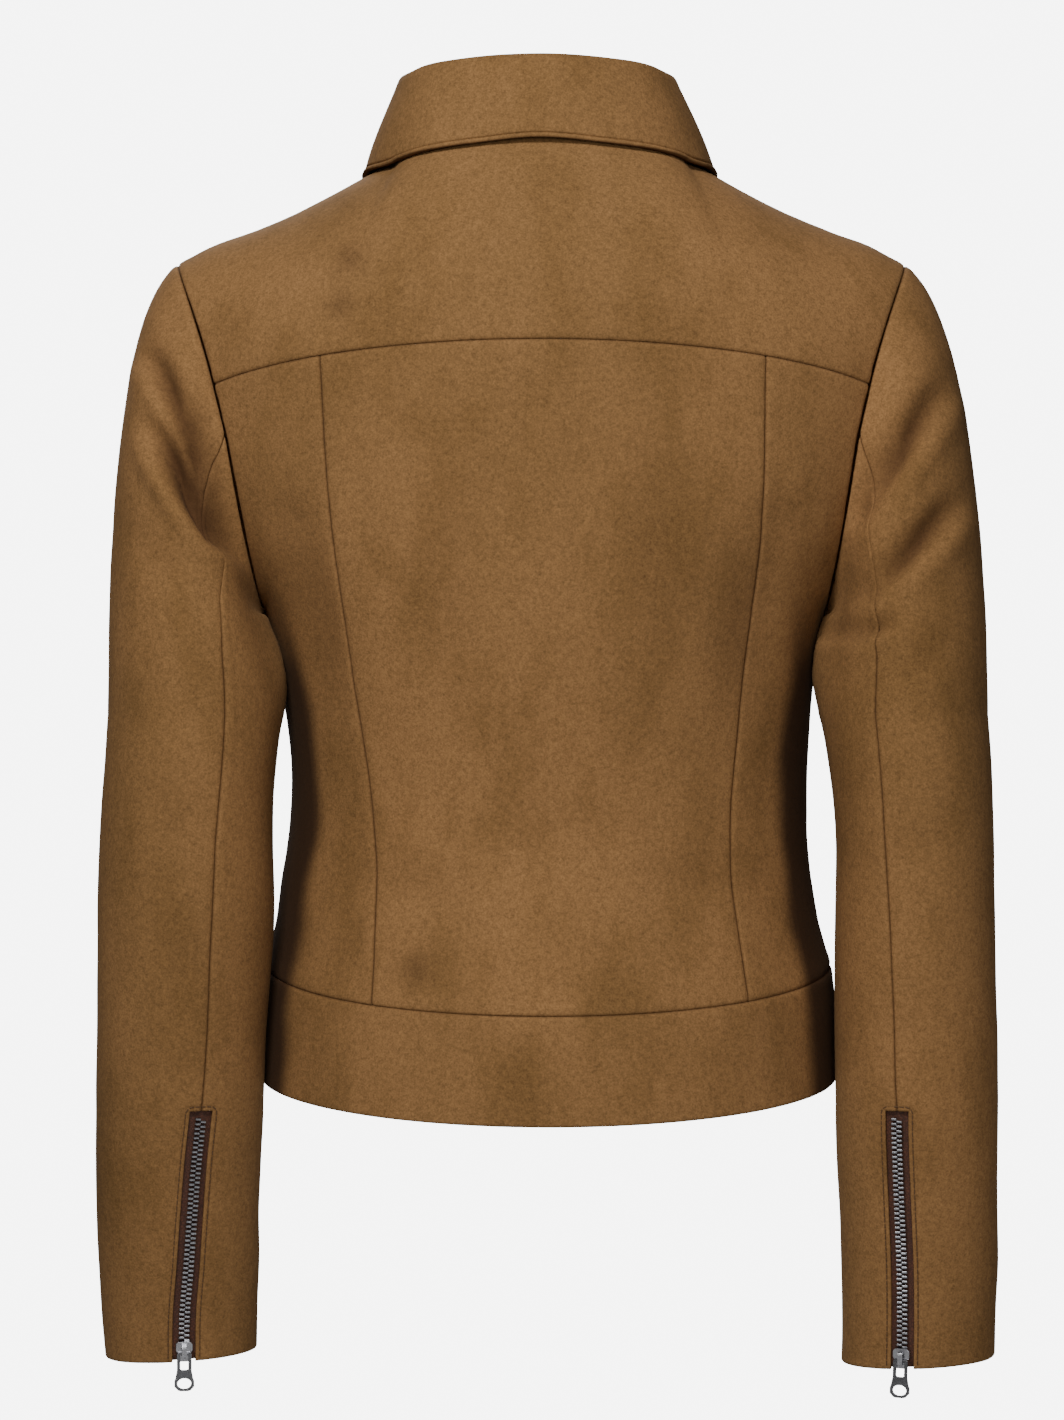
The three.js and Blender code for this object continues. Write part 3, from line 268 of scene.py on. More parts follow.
class Torso:
    """Outer surface of the body: level sections up to the chest, and the crown above."""

    def eased(self, surface: Shape, row: Array, column: Array, edge: float) -> Array:
        """Average a surface over nearby heights, away from its edges, so that no level shows.

        Args:
            surface: Points by row and column.
            row: Rows to read.
            column: Columns to read.
            edge: Columns from the middle of the surface to its armhole edge.

        Returns:
            The points.
        """
        row, column = np.broadcast_arrays(np.asarray(row, float), np.asarray(column, float))
        levels = TORSO[:, 0]
        here = np.interp(row, np.arange(len(levels)), levels)
        room = np.minimum(here - levels[BAND_TOP], levels[CHEST] - here)
        reach = np.clip(room, 0, EASE) * np.clip((edge - np.abs(column)) / 2.5, 0, 1)
        total = np.zeros((*row.shape, 3))
        for step, share in EASE_SHARES:
            level = np.interp(here + step * reach, levels, np.arange(len(levels)))
            total += share * surface(np.where(reach > 0, level, row), column)
        return total

    def value(self, name: str, row: Array) -> Array:
        """Read a named column of the torso table."""
        return along(TORSO, COLUMNS.index(name), row)

    def level(self, face: str, row: Array, u: Array) -> Array:
        """Points of the level sections; u runs from -1 at the right to 1 at the left."""
        angle = np.radians(self.value(face + "Angle", row))
        lift = (np.cos(u * angle) - np.cos(angle)) / (1 - np.cos(angle))
        return stack(
            self.value("sway", row) + self.value(face + "X", row) * np.sin(u * angle) / np.sin(angle),
            mixed(self.value(face + "Y", row), self.value(face + "Mid", row), lift),
            mixed(self.value("side", row), self.value(face + "MidZ", row), lift),
        )

    def u_at(self, face: str, row: Array, x: Array) -> Array:
        """Where along a section its x has a value."""
        angle = np.radians(self.value(face + "Angle", row))
        sine = (x - self.value("sway", row)) * np.sin(angle) / self.value(face + "X", row)
        return np.arcsin(np.clip(sine, -1, 1)) / angle

    def back_u(self, row: Array, column: Array) -> Array:
        """Where along a section a column of the back lies."""
        off = column - HALF_BACK
        side = np.where(off < 0, -1.0, 1.0)
        seam_row = np.maximum(row, BAND_TOP)
        reach = np.where(side > 0, self.value("princessLeft", seam_row),
                         self.value("princessRight", seam_row))
        seam = side * self.u_at("back", seam_row, side * reach)
        away = np.abs(off)
        outer = seam + (1 - seam) * (away - PRINCESS) / (HALF_BACK - PRINCESS)
        return side * np.where(away <= PRINCESS, seam * away / PRINCESS, outer)

    def front_u(self, row: Array, column: Array, side: int) -> Array:
        """Where along a section a column of one front lies."""
        opening = self.u_at("front", row, self.value("sway", row) + side * FRONT_OPENING)
        return side * (np.abs(opening) + (1 - np.abs(opening)) * column / FRONT_COLUMNS)

    def neck(self, degrees: Array, side: Array) -> Array:
        """Points of the neck seam, 0 at the centre back and 180 at the centre front."""
        turn = np.radians(degrees)
        cosine = np.cos(turn)
        behind = degrees <= 90
        reach = 76 * np.sin(turn)
        forward = np.maximum(-cosine, 0) ** 1.2
        return stack(
            side * np.where(behind, reach, np.maximum(reach, 8)),
            np.where(behind, mixed(-12, 62, cosine), mixed(-12, -97, -cosine)),
            np.where(behind, mixed(-16, -6, cosine), mixed(-16, -75, forward)),
        )

    def crown_edge(self, face: str, off: Array, side: Array) -> Array:
        """Points of the neck and shoulder seams, by columns from the centre."""
        turn = 90 * np.minimum(off, NECK_HALF) / NECK_HALF
        neck = self.neck(turn if face == "back" else 180 - turn, side)
        row = np.maximum(off - NECK_HALF, 0) * (len(SHOULDER) - 1) / (HALF_BACK - NECK_HALF)
        shoulder = stack(side * along(SHOULDER, 0, row), SHOULDER_Y, along(SHOULDER, 1, row))
        return np.where((off > NECK_HALF)[..., None], shoulder, neck)

    def crown(self, face: str, row: Array, off: Array, side: Array, u: Array) -> Array:
        """Points above the chest row, up to the neck or shoulder seam."""
        chest = np.full_like(u, CHEST)
        base = self.level(face, chest, u)
        below = self.level(face, chest - 0.5, u)
        top = self.crown_edge(face, off, side)
        length = length_of(top - base)
        leave = (base - below) / length_of(base - below) * length
        blend = np.clip(off / NECK_HALF, 0, 1)
        blend = smooth(blend)[..., None]
        neck_end = np.array([0, -0.42, 0.85] if face == "back" else [0, 0.3, 0.85])
        shoulder_end = np.array([0, -1.2, 0.04] if face == "back" else [0, 1.2, 0.04])
        return hermite(base, top, leave, mixed(neck_end, shoulder_end, blend) * length,
                       (row - CHEST) / CROWN)

    def back(self, row: Array, column: Array) -> Array:
        """Points of the back, by row and by column from the right side to the left."""
        row, column = np.broadcast_arrays(np.asarray(row, float), np.asarray(column, float))
        off = column - HALF_BACK
        side = np.where(off < 0, -1.0, 1.0)
        low = self.level("back", np.minimum(row, CHEST), self.back_u(np.minimum(row, CHEST), column))
        chest_u = self.back_u(np.full_like(column, CHEST), column)
        high = self.crown("back", np.maximum(row, CHEST), np.abs(off), side, chest_u)
        return np.where((row <= CHEST)[..., None], low, high)

    def front(self, row: Array, column: Array, side: int) -> Array:
        """Points of one front, by row and by column from the centre front to the side."""
        row, column = np.broadcast_arrays(np.asarray(row, float), np.asarray(column, float))
        level_row = np.minimum(row, CHEST)
        low = self.level("front", level_row, self.front_u(level_row, column, side))
        chest_u = self.front_u(np.full_like(column, CHEST), column, side)
        high = self.crown("front", np.maximum(row, CHEST), column, np.full_like(column, side), chest_u)
        return np.where((row <= CHEST)[..., None], low, high)

    def placket(self, row: Array, x: Array) -> Array:
        """Points across the centre front, x off the centre line."""
        row, x = np.broadcast_arrays(np.asarray(row, float), np.asarray(x, float))
        zero = np.zeros_like(row)
        point = np.where((x < 0)[..., None], self.front(row, zero, -1), self.front(row, zero, 1))
        point[..., 0] = x + self.value("sway", np.minimum(row, CHEST))
        return point

    def armhole(self, column: Array, side: int) -> Array:
        """Armhole by ring column: up the back, over the shoulder and down the front."""
        edge = np.full_like(column, HALF_BACK * 2 if side > 0 else 0)
        back = self.back(UNDERARM + np.minimum(column, SHOULDER_COLUMN), edge)
        front_row = UNDERARM + RING_COLUMNS - np.maximum(column, SHOULDER_COLUMN)
        front = self.front(front_row, np.full_like(column, FRONT_COLUMNS), side)
        return np.where((column <= SHOULDER_COLUMN)[..., None], back, front)

    def side_reach(self, y: Array, z: Array, side: int) -> Array:
        """How far out the side of the body is, at a depth and a height."""
        levels = TORSO[:, 0]
        row = np.clip(np.interp(z, levels, np.arange(len(levels))), 0, UNDERARM)
        middle = self.value("backY", row)
        reach = np.where(y > middle, self.value("backMid", row), self.value("frontMid", row)) - middle
        across = np.sqrt(np.maximum(0, 1 - ((y - middle) / reach) ** 2))
        return self.value("backX", row) * across + side * self.value("sway", row)


TORSO_FORM = Torso()


@dataclass(frozen=True)
class SleeveForm:
    """Outer surface of one sleeve.

    Attributes:
        side: 1 for the wearer's left, -1 for the right.
    """

    side: int

    @property
    def rings(self) -> Array:
        """Table of this sleeve's rings."""
        return RINGS[self.side]

    def row_at(self, z: Array) -> Array:
        """Ring row at a height."""
        return np.interp(-np.asarray(z, float), -self.rings[:, 0], np.arange(len(self.rings)))

    def read(self, column: int, row: Array) -> Array:
        """Read a column of the rings along a curve that is smooth by height."""
        row = np.asarray(row, float)
        heights, values = self.rings[:, 0], self.rings[:, column]
        slopes = np.gradient(values, heights)
        i = np.clip(np.floor(row).astype(int), 0, len(values) - 2)
        f, step = row - i, heights[i + 1] - heights[i]
        f2, f3 = f * f, f * f * f
        return ((2 * f3 - 3 * f2 + 1) * values[i] + (f3 - 2 * f2 + f) * step * slopes[i]
                + (3 * f2 - 2 * f3) * values[i + 1] + (f3 - f2) * step * slopes[i + 1])

    def ring(self, row: Array, degrees: Array) -> Array:
        """Points of a ring."""
        turn = np.radians(degrees)
        read = [self.read(k, row) for k in range(7)]
        return stack(self.side * (read[1] - read[2] * np.cos(turn)),
                     read[3] + read[4] * np.sin(turn), read[0] + read[6] * np.cos(turn))

    def beside_seam(self, row: Array, off: Array) -> Array:
        """Points beside the elbow seam, off it by millimetres round the ring."""
        row, off = np.broadcast_arrays(np.asarray(row, float), np.asarray(off, float))
        degrees = self.read(5, row) + np.degrees(off / self.read(2, row))
        return self.ring(row, degrees)

    def angle(self, row: Array, column: Array, part: str) -> Array:
        """Angle round the ring of a column of the top or the under piece."""
        seam = self.read(5, row)
        if part == "under":
            near = seam * column / ELBOW_COLUMN
            past = (column + RING_COLUMNS - INNER_COLUMN) / (RING_COLUMNS - INNER_COLUMN)
            far = mixed(INNER_ANGLE, 360, past)
            return np.where(column >= 0, near, far)
        upper = mixed(seam, 180, (column - ELBOW_COLUMN) / (SHOULDER_COLUMN - ELBOW_COLUMN))
        lower = mixed(180, INNER_ANGLE, (column - SHOULDER_COLUMN) / (INNER_COLUMN - SHOULDER_COLUMN))
        return np.where(column <= SHOULDER_COLUMN, upper, lower)

    def clear(self, points: Array) -> Array:
        """Keep points beside the body outside it."""
        least = TORSO_FORM.side_reach(points[..., 1], points[..., 2], self.side) + SLEEVE_CLEAR
        x = self.side * points[..., 0]
        y, y_half, z, z_half = LEAN_AT
        near = np.exp(-((points[..., 1] - y) / y_half) ** 2 - ((points[..., 2] - z) / z_half) ** 2)
        x = x - LEAN * near * np.clip((190 - x) / 20, 0, 1)
        pushed = self.side * 0.5 * (x + least + np.sqrt((x - least) ** 2 + 4))
        out = points.copy()
        out[..., 0] = np.where(points[..., 2] > TORSO[UNDERARM, 0], points[..., 0], pushed)
        return out

    def surface(self, part: str) -> Shape:
        """Surface of the top or the under piece, by row from the armhole and by ring column."""
        def points(rho: Array, column: Array) -> Array:
            """Points of the piece."""
            rho, column = np.broadcast_arrays(np.asarray(rho, float), np.asarray(column, float))
            near = np.clip(1 - np.abs(column - ELBOW_COLUMN) / 5, 0, 1)
            shift = np.interp(rho, SEAM_SHIFT_ROWS, SEAM_SHIFT[self.side])
            column = column - shift * smooth(near)
            round_column = np.where(column < 0, column + RING_COLUMNS, column)
            row = np.maximum(rho - CAP_ROWS, 0)
            ring = self.ring(row, self.angle(row, column, part))
            start = TORSO_FORM.armhole(round_column, self.side)
            start[..., 0] += self.side * np.interp(round_column, *ARMHOLE_GAPS)
            key = round_column / 3
            leave = stack(self.side * along(CAP_START, 1, key), along(CAP_START, 2, key),
                          along(CAP_START, 3, key))
            drop = 0.35 * np.abs(start[..., 2] - ring[..., 2]) + 0.85 * length_of(start - ring)[..., 0]
            arrive = stack(np.zeros_like(drop), np.zeros_like(drop), -drop)
            cap = hermite(start, ring, leave, arrive, np.minimum(rho / CAP_ROWS, 1))
            return self.clear(np.where((rho >= CAP_ROWS)[..., None], ring, cap))
        return points


def spaced(length: float, cell: float, first: Sequence[float],
           last: Sequence[float]) -> tuple[Array, Array]:
    """Work out where a panel's mesh lines go, finer beside its edges.

    Args:
        length: Usual length between the two edges.
        cell: Size of the cells away from the edges.
        first: Distances of the fine lines from the first edge.
        last: Distances of the fine lines from the last edge.

    Returns:
        Shares of the real length and offsets in millimetres, one of each per line.
    """
    starts = [0.0, *first[:-1]] if first else []
    ends = [0.0, *last[:-1]] if last else []
    near, far = first[-1] if first else 0.0, last[-1] if last else 0.0
    inner = np.linspace(0, 1, max(2, round((length - near - far) / cell)) + 1)
    shares = [0.0] * len(starts) + list(inner) + [1.0] * len(ends)
    offsets = starts + list(near * (1 - inner) - far * inner) + [-v for v in reversed(ends)]
    return np.array(shares), np.array(offsets)


def respaced(values: Array, shares: Array, offsets: Array) -> tuple[Array, Array]:
    """Walk each line along the first axis and set new points on it.

    Args:
        values: Points, with any more values carried along after their x, y and z.
        shares: Share of each line's length per new point.
        offsets: Millimetres added to it.

    Returns:
        The new points, and their distances from the start and the end as a last axis of two.
    """
    steps = np.linalg.norm(np.diff(values[..., :3], axis=0), axis=2)
    run = np.vstack([np.zeros(values.shape[1]), np.cumsum(steps, axis=0)])
    at = shares[:, None] * run[-1] + offsets[:, None]
    out = np.empty((len(shares), *values.shape[1:]))
    for j in range(values.shape[1]):
        for k in range(values.shape[2]):
            out[:, j, k] = np.interp(at[:, j], run[:, j], values[:, j, k])
    return out, np.stack([at, run[-1] - at], axis=-1)


def normals_of(points: Array) -> Array:
    """Directions square to a grid of points."""
    return unit(np.cross(np.gradient(points, axis=1), np.gradient(points, axis=0)))


def unit(vectors: Array) -> Array:
    """Vectors made one long."""
    return vectors / length_of(vectors)


def ruffle(points: Array, size: float, seed: float) -> Array:
    """Smooth uneven values between -1 and 1 over a grid of points.

    Args:
        points: Where to read them, in millimetres.
        size: Breadth of one swelling.
        seed: Which pattern.

    Returns:
        The values.
    """
    flat = points.reshape(-1, 3) / size + seed
    return np.array([noise.noise(Vector(p)) for p in flat]).reshape(points.shape[:-1])


class Edge(Enum):
    """How one edge of a panel is finished."""

    SEAM = "seam"
    FREE = "free"


@dataclass(frozen=True)
class Crease:
    """A soft trough in the cloth, along a path seen from behind or from the front.

    Attributes:
        depth: Deepest point, in millimetres; a ridge has a negative one.
        steep: Breadth of the trough on the right of its path.
        gentle: Breadth on the left of its path.
        path: x and z of its points; x counts outwards on a sleeve.
        lip: Height of the ridge beside the steep side.
        facing: 1 on the back, -1 on the front.
        start: Share of the depth at the first point.
        end: Share of the depth at the last point.
    """

    depth: float
    steep: float
    gentle: float
    path: tuple[tuple[float, float], ...]
    lip: float = 0.0
    facing: int = 1
    start: float = 0.35
    end: float = 0.35

    def press(self, points: Array, normals: Array, mirror: int) -> Array:
        """How far the cloth is moved out, at each point.

        Args:
            points: Points of the panel.
            normals: Directions out of it.
            mirror: 1 or -1, by which x of the path is multiplied.

        Returns:
            Millimetres, below nought in the trough.
        """
        x, z = mirror * points[..., 0], points[..., 2]
        away = np.full(x.shape, np.inf)
        signed, share = np.zeros(x.shape), np.zeros(x.shape)
        corners = np.array(self.path, float)
        runs = np.linalg.norm(np.diff(corners, axis=0), axis=1)
        done = np.concatenate([[0], np.cumsum(runs)]) / runs.sum()
        for i, (a, b) in enumerate(zip(corners[:-1], corners[1:])):
            d = b - a
            t = np.clip(((x - a[0]) * d[0] + (z - a[1]) * d[1]) / (d @ d), 0, 1)
            gap_x, gap_z = x - a[0] - t * d[0], z - a[1] - t * d[1]
            gap = np.hypot(gap_x, gap_z)
            nearer = gap < away
            away = np.where(nearer, gap, away)
            signed = np.where(nearer, np.sign(d[0] * gap_z - d[1] * gap_x) * gap, signed)
            share = np.where(nearer, mixed(done[i], done[i + 1], t), share)
        width = np.where(signed < 0, self.steep, self.gentle)
        bell = np.sin(np.pi * np.clip(share, 0, 1)) ** 0.8
        strength = np.maximum(bell, mixed(self.start, self.end, share))
        ridge = self.lip * np.exp(-((signed + 2.1 * self.steep) / (1.2 * self.steep)) ** 2)
        shape = ridge - self.depth * np.exp(-(away / width) ** 2)
        side = np.clip(self.facing * normals[..., 1] * 3, 0, 1)
        return shape * strength * side


def seam_relief(gap: Array, edge: Edge) -> Array:
    """How an edge turns down, by the distance from it."""
    if edge is Edge.FREE:
        return -0.6 * np.exp(-(gap / 0.6) ** 2)
    return -0.8 * np.exp(-(gap / 0.8) ** 2) + 0.25 * np.exp(-((gap - 4.2) / 2.4) ** 2)


@dataclass
class ClothGrid:
    """A grid of points on the outer face of one piece of cloth.

    Attributes:
        points: The points, in millimetres.
        rows: Distances of the points from the first and the last row.
        columns: Distances from the first and the last column.
    """

    points: Array
    rows: Array
    columns: Array

    def __post_init__(self) -> None:
        """Work out the directions out of the cloth."""
        self.normals = normals_of(self.points)
        self.flat_points = self.points.copy()

    def face(self, outward: tuple[float, float, float]) -> "ClothGrid":
        """Turn the directions so that the middle of the cloth faces outward."""
        middle = self.normals[self.normals.shape[0] // 2, self.normals.shape[1] // 2]
        if middle @ np.array(outward) < 0:
            self.normals = -self.normals
        return self

    def raise_by(self, height: Array) -> None:
        """Move the points along their directions."""
        self.points = self.points + self.normals * height[..., None]

    def seam_mask(self, breadth: float) -> Array:
        """Nearness to the closest edge, 1 on it."""
        nearest = np.minimum(self.rows.min(axis=-1), self.columns.min(axis=-1))
        return np.exp(-(np.maximum(nearest, 0) / breadth) ** 2)

    def size(self) -> tuple[float, float, float]:
        """Greatest breadth and length in metres, and the area in square metres."""
        across = np.linalg.norm(np.diff(self.flat_points, axis=1), axis=2)
        down = np.linalg.norm(np.diff(self.flat_points, axis=0), axis=2)
        one = self.flat_points[1:, 1:] - self.flat_points[:-1, :-1]
        two = self.flat_points[1:, :-1] - self.flat_points[:-1, 1:]
        area = 0.5 * np.linalg.norm(np.cross(one, two), axis=2).sum()
        return across.sum(axis=1).max() * MM, down.sum(axis=0).max() * MM, area * MM * MM


def cut(surface: Shape, rows: tuple[float, float], columns: tuple[float, float],
        first: Sequence[float] = SEAM_STOPS, last: Sequence[float] = SEAM_STOPS,
        start: Sequence[float] = SEAM_STOPS, end: Sequence[float] = SEAM_STOPS,
        dense: int = 12) -> ClothGrid:
    """Cut a panel out of a surface, with mesh lines at real distances from its edges.

    Args:
        surface: Points by row and column.
        rows: First and last row.
        columns: First and last column.
        first: Fine lines beside the first row.
        last: Fine lines beside the last row.
        start: Fine lines beside the first column.
        end: Fine lines beside the last column.
        dense: Points read per row and column before the lines are set.

    Returns:
        The cut panel.
    """
    row = np.linspace(*rows, round(abs(rows[1] - rows[0]) * dense) + 1)
    column = np.linspace(*columns, round(abs(columns[1] - columns[0]) * dense) + 1)
    values = surface(row[:, None], column[None, :])
    length = np.linalg.norm(np.diff(values, axis=0), axis=2).sum(axis=0).mean()
    down, gaps = respaced(values, *spaced(length, CELL, first, last))
    return crossed(np.concatenate([down, gaps], axis=2), start, end)


def crossed(values: Array, start: Sequence[float], end: Sequence[float]) -> ClothGrid:
    """Set the columns of a grid whose rows are in place, and keep its distances."""
    breadth = np.linalg.norm(np.diff(values[..., :3], axis=1), axis=2).sum(axis=1).mean()
    lines = spaced(breadth, CELL, start, end)
    across, gaps = respaced(values.swapaxes(0, 1), *lines)
    across, gaps = across.swapaxes(0, 1), gaps.swapaxes(0, 1)
    return ClothGrid(across[..., :3], across[..., 3:5], gaps)


def linked(name: str, data: bpy.types.ID) -> bpy.types.Object:
    """Make an object and link it to the scene."""
    made = bpy.data.objects.new(name, data)
    bpy.context.scene.collection.objects.link(made)
    return made


def shell_mesh(name: str, grid: ClothGrid, wall: float, marks: dict[str, Array],
               kept: Array | None = None) -> bpy.types.Object:
    """Make a closed wall from the outer points of a cloth.

    Args:
        name: Name of the new piece.
        grid: The outer face.
        wall: Thickness.
        marks: Values to keep on the outer face, by name.
        kept: Which cells of the grid are cloth, or None for all.

    Returns:
        The new object, linked to the scene.
    """
    outer = grid.points
    through = unit(mixed(grid.normals, normals_facing(outer, grid.normals), 0.5))
    inner = outer - through * wall
    count_rows, count_columns = outer.shape[:2]
    size = count_rows * count_columns
    index = np.arange(size).reshape(count_rows, count_columns)
    quads = np.stack([index[:-1, :-1], index[:-1, 1:], index[1:, 1:], index[1:, :-1]], axis=-1)
    quads = quads.reshape(-1, 4)
    if kept is not None:
        quads = quads[kept.ravel()]
    a, b, c = (outer.reshape(-1, 3)[quads[:, k]] for k in range(3))
    if (np.cross(b - a, c - b) * grid.normals.reshape(-1, 3)[quads[:, 0]]).sum() < 0:
        quads = quads[:, ::-1]
    steps = [(int(q[k]), int(q[(k + 1) % 4])) for q in quads for k in range(4)]
    known = set(steps)
    rim = np.array([step for step in steps if (step[1], step[0]) not in known])
    walls = np.stack([rim[:, 1], rim[:, 0], rim[:, 0] + size, rim[:, 1] + size], axis=-1)
    faces = np.concatenate([quads, quads[:, ::-1] + size, walls])
    points = np.concatenate([outer.reshape(-1, 3), inner.reshape(-1, 3)]) * MM
    mesh = bpy.data.meshes.new(name)
    mesh.from_pydata(points.tolist(), [], faces.tolist())
    mesh.polygons.foreach_set("use_smooth", np.ones(len(faces), dtype=bool))
    for mark, values in marks.items():
        layer = mesh.attributes.new(mark, "FLOAT", "POINT")
        layer.data.foreach_set("value", np.tile(values.ravel(), 2).astype(np.float32))
    if kept is not None:
        shaped = bmesh.new()
        shaped.from_mesh(mesh)
        bmesh.ops.delete(shaped, geom=[v for v in shaped.verts if not v.link_faces], context="VERTS")
        shaped.to_mesh(mesh)
        shaped.free()
    piece = linked(name, mesh)
    return piece


def normals_facing(points: Array, guide: Array) -> Array:
    """Directions square to a grid, on the side of the guide."""
    found = normals_of(points)
    return found * np.where((found * guide).sum(axis=-1) < 0, -1.0, 1.0)[..., None]


@dataclass(frozen=True)
class Panel:
    """One cut piece of the jacket.

    Attributes:
        node: The solid that it dresses.
        outward: Rough direction out of its middle.
        first: Finish of its first row's edge.
        last: Finish of its last row's edge.
        start: Finish of its first column's edge.
        end: Finish of its last column's edge.
        creases: Troughs pressed into it.
        mirror: By which x of the creases is multiplied.
        swell: Height of its soft uneven swellings.
        held: How the cloth is held; not used.
        side_shaded: Whether its sides get painted shade under the arms.
        pinned: Its edge at an armhole, first, start or end, where no fold may open the seam.
    """

    node: str
    outward: tuple[float, float, float]
    first: Edge = Edge.SEAM
    last: Edge = Edge.SEAM
    start: Edge = Edge.SEAM
    end: Edge = Edge.SEAM
    creases: tuple[Crease, ...] = ()
    mirror: int = 1
    swell: float = 0.5
    held: str = "hung"
    side_shaded: bool = True
    pinned: str = ""

    def relief(self, grid: ClothGrid) -> tuple[Array, Array]:
        """Heights of the panel's edges and folds.

        Args:
            grid: The cut panel.

        Returns:
            The heights, and how deep in a fold each point lies, 0 to 1, for the painted shade in folds.
        """
        folds = sum((c.press(grid.points, grid.normals, self.mirror) for c in self.creases),
                    np.zeros(grid.points.shape[:2]))
        gaps = {"first": grid.rows[..., 0], "start": grid.columns[..., 0], "end": grid.columns[..., 1]}
        if self.pinned:
            near = np.clip(gaps[self.pinned] / PIN_REACH, 0, 1)
            folds = folds * smooth(near)
        waves = self.swell * (ruffle(grid.points, 62, 3.7) + 0.45 * ruffle(grid.points, 27, 8.1))
        edges = (seam_relief(grid.rows[..., 0], self.first) + seam_relief(grid.rows[..., 1], self.last)
                 + seam_relief(grid.columns[..., 0], self.start)
                 + seam_relief(grid.columns[..., 1], self.end))
        pucker = 0.22 * ruffle(grid.points, 9, 1.3) * grid.seam_mask(9)
        return folds + waves + edges + pucker, np.clip(-folds / HOLLOW_FULL, 0, 1) ** HOLLOW_POWER

    def smudges_and_side_shade(self, grid: ClothGrid) -> Array:
        """Dark smudges on the back, and painted shade on the body's sides under the arms, 0 to 1."""
        x, y, z = np.moveaxis(grid.points, -1, 0)
        spots = sum(0.4 * np.exp(-((x - across) ** 2 + (z - up) ** 2) / reach ** 2) * (y > 0)
                    for across, up, reach in SMUDGES)
        # Painted shade on the body's sides below the armholes, where the sleeves shade them.
        side, sway = (np.interp(z, TORSO[:, 0], TORSO[:, k]) for k in (TORSO_SIDE, TORSO_SWAY))
        uneven = 4 * ruffle(grid.points, 40, 5.2)
        near = np.clip((np.abs(x - sway) - side + SIDE_SHADE_REACH + uneven) / SIDE_SHADE_FADE, 0, 1)
        height = np.clip((SIDE_SHADE_TOP - z) / SIDE_SHADE_RISE, 0, 1) * self.side_shaded
        return np.maximum(spots, smooth(near) * height)

    def sew(self, grid: ClothGrid, extra: Array | float = 0.0, wall: float = SUEDE_WALL,
            kept: Array | None = None) -> bpy.types.Object:
        """Make the dressed piece out of its cut grid.

        Args:
            grid: The cut panel.
            extra: More height to add.
            wall: Thickness of the cloth.
            kept: Which cells are cloth, or None for all.

        Returns:
            The new piece, riding on the body.
        """
        grid.face(self.outward)
        height, fold_shade = self.relief(grid)
        grid.raise_by(height + extra)
        # The seam mark is painted shade down in the seams.
        marks = {"seam": grid.seam_mask(0.55), "fold_shade": fold_shade, "smudges_and_side_shade": self.smudges_and_side_shade(grid)}
        piece = shell_mesh(self.node + "_cloth", grid, wall, marks, kept)
        piece.data.materials.append(SuedeFinish().material())
        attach(piece, BODY)
        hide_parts(self.node)
        width, length, area = grid.size()
        log.info("%s: %d faces, flat %.3f x %.3f m, %.4f m2", piece.name, len(piece.data.polygons),
                 width, length, area)
        return piece


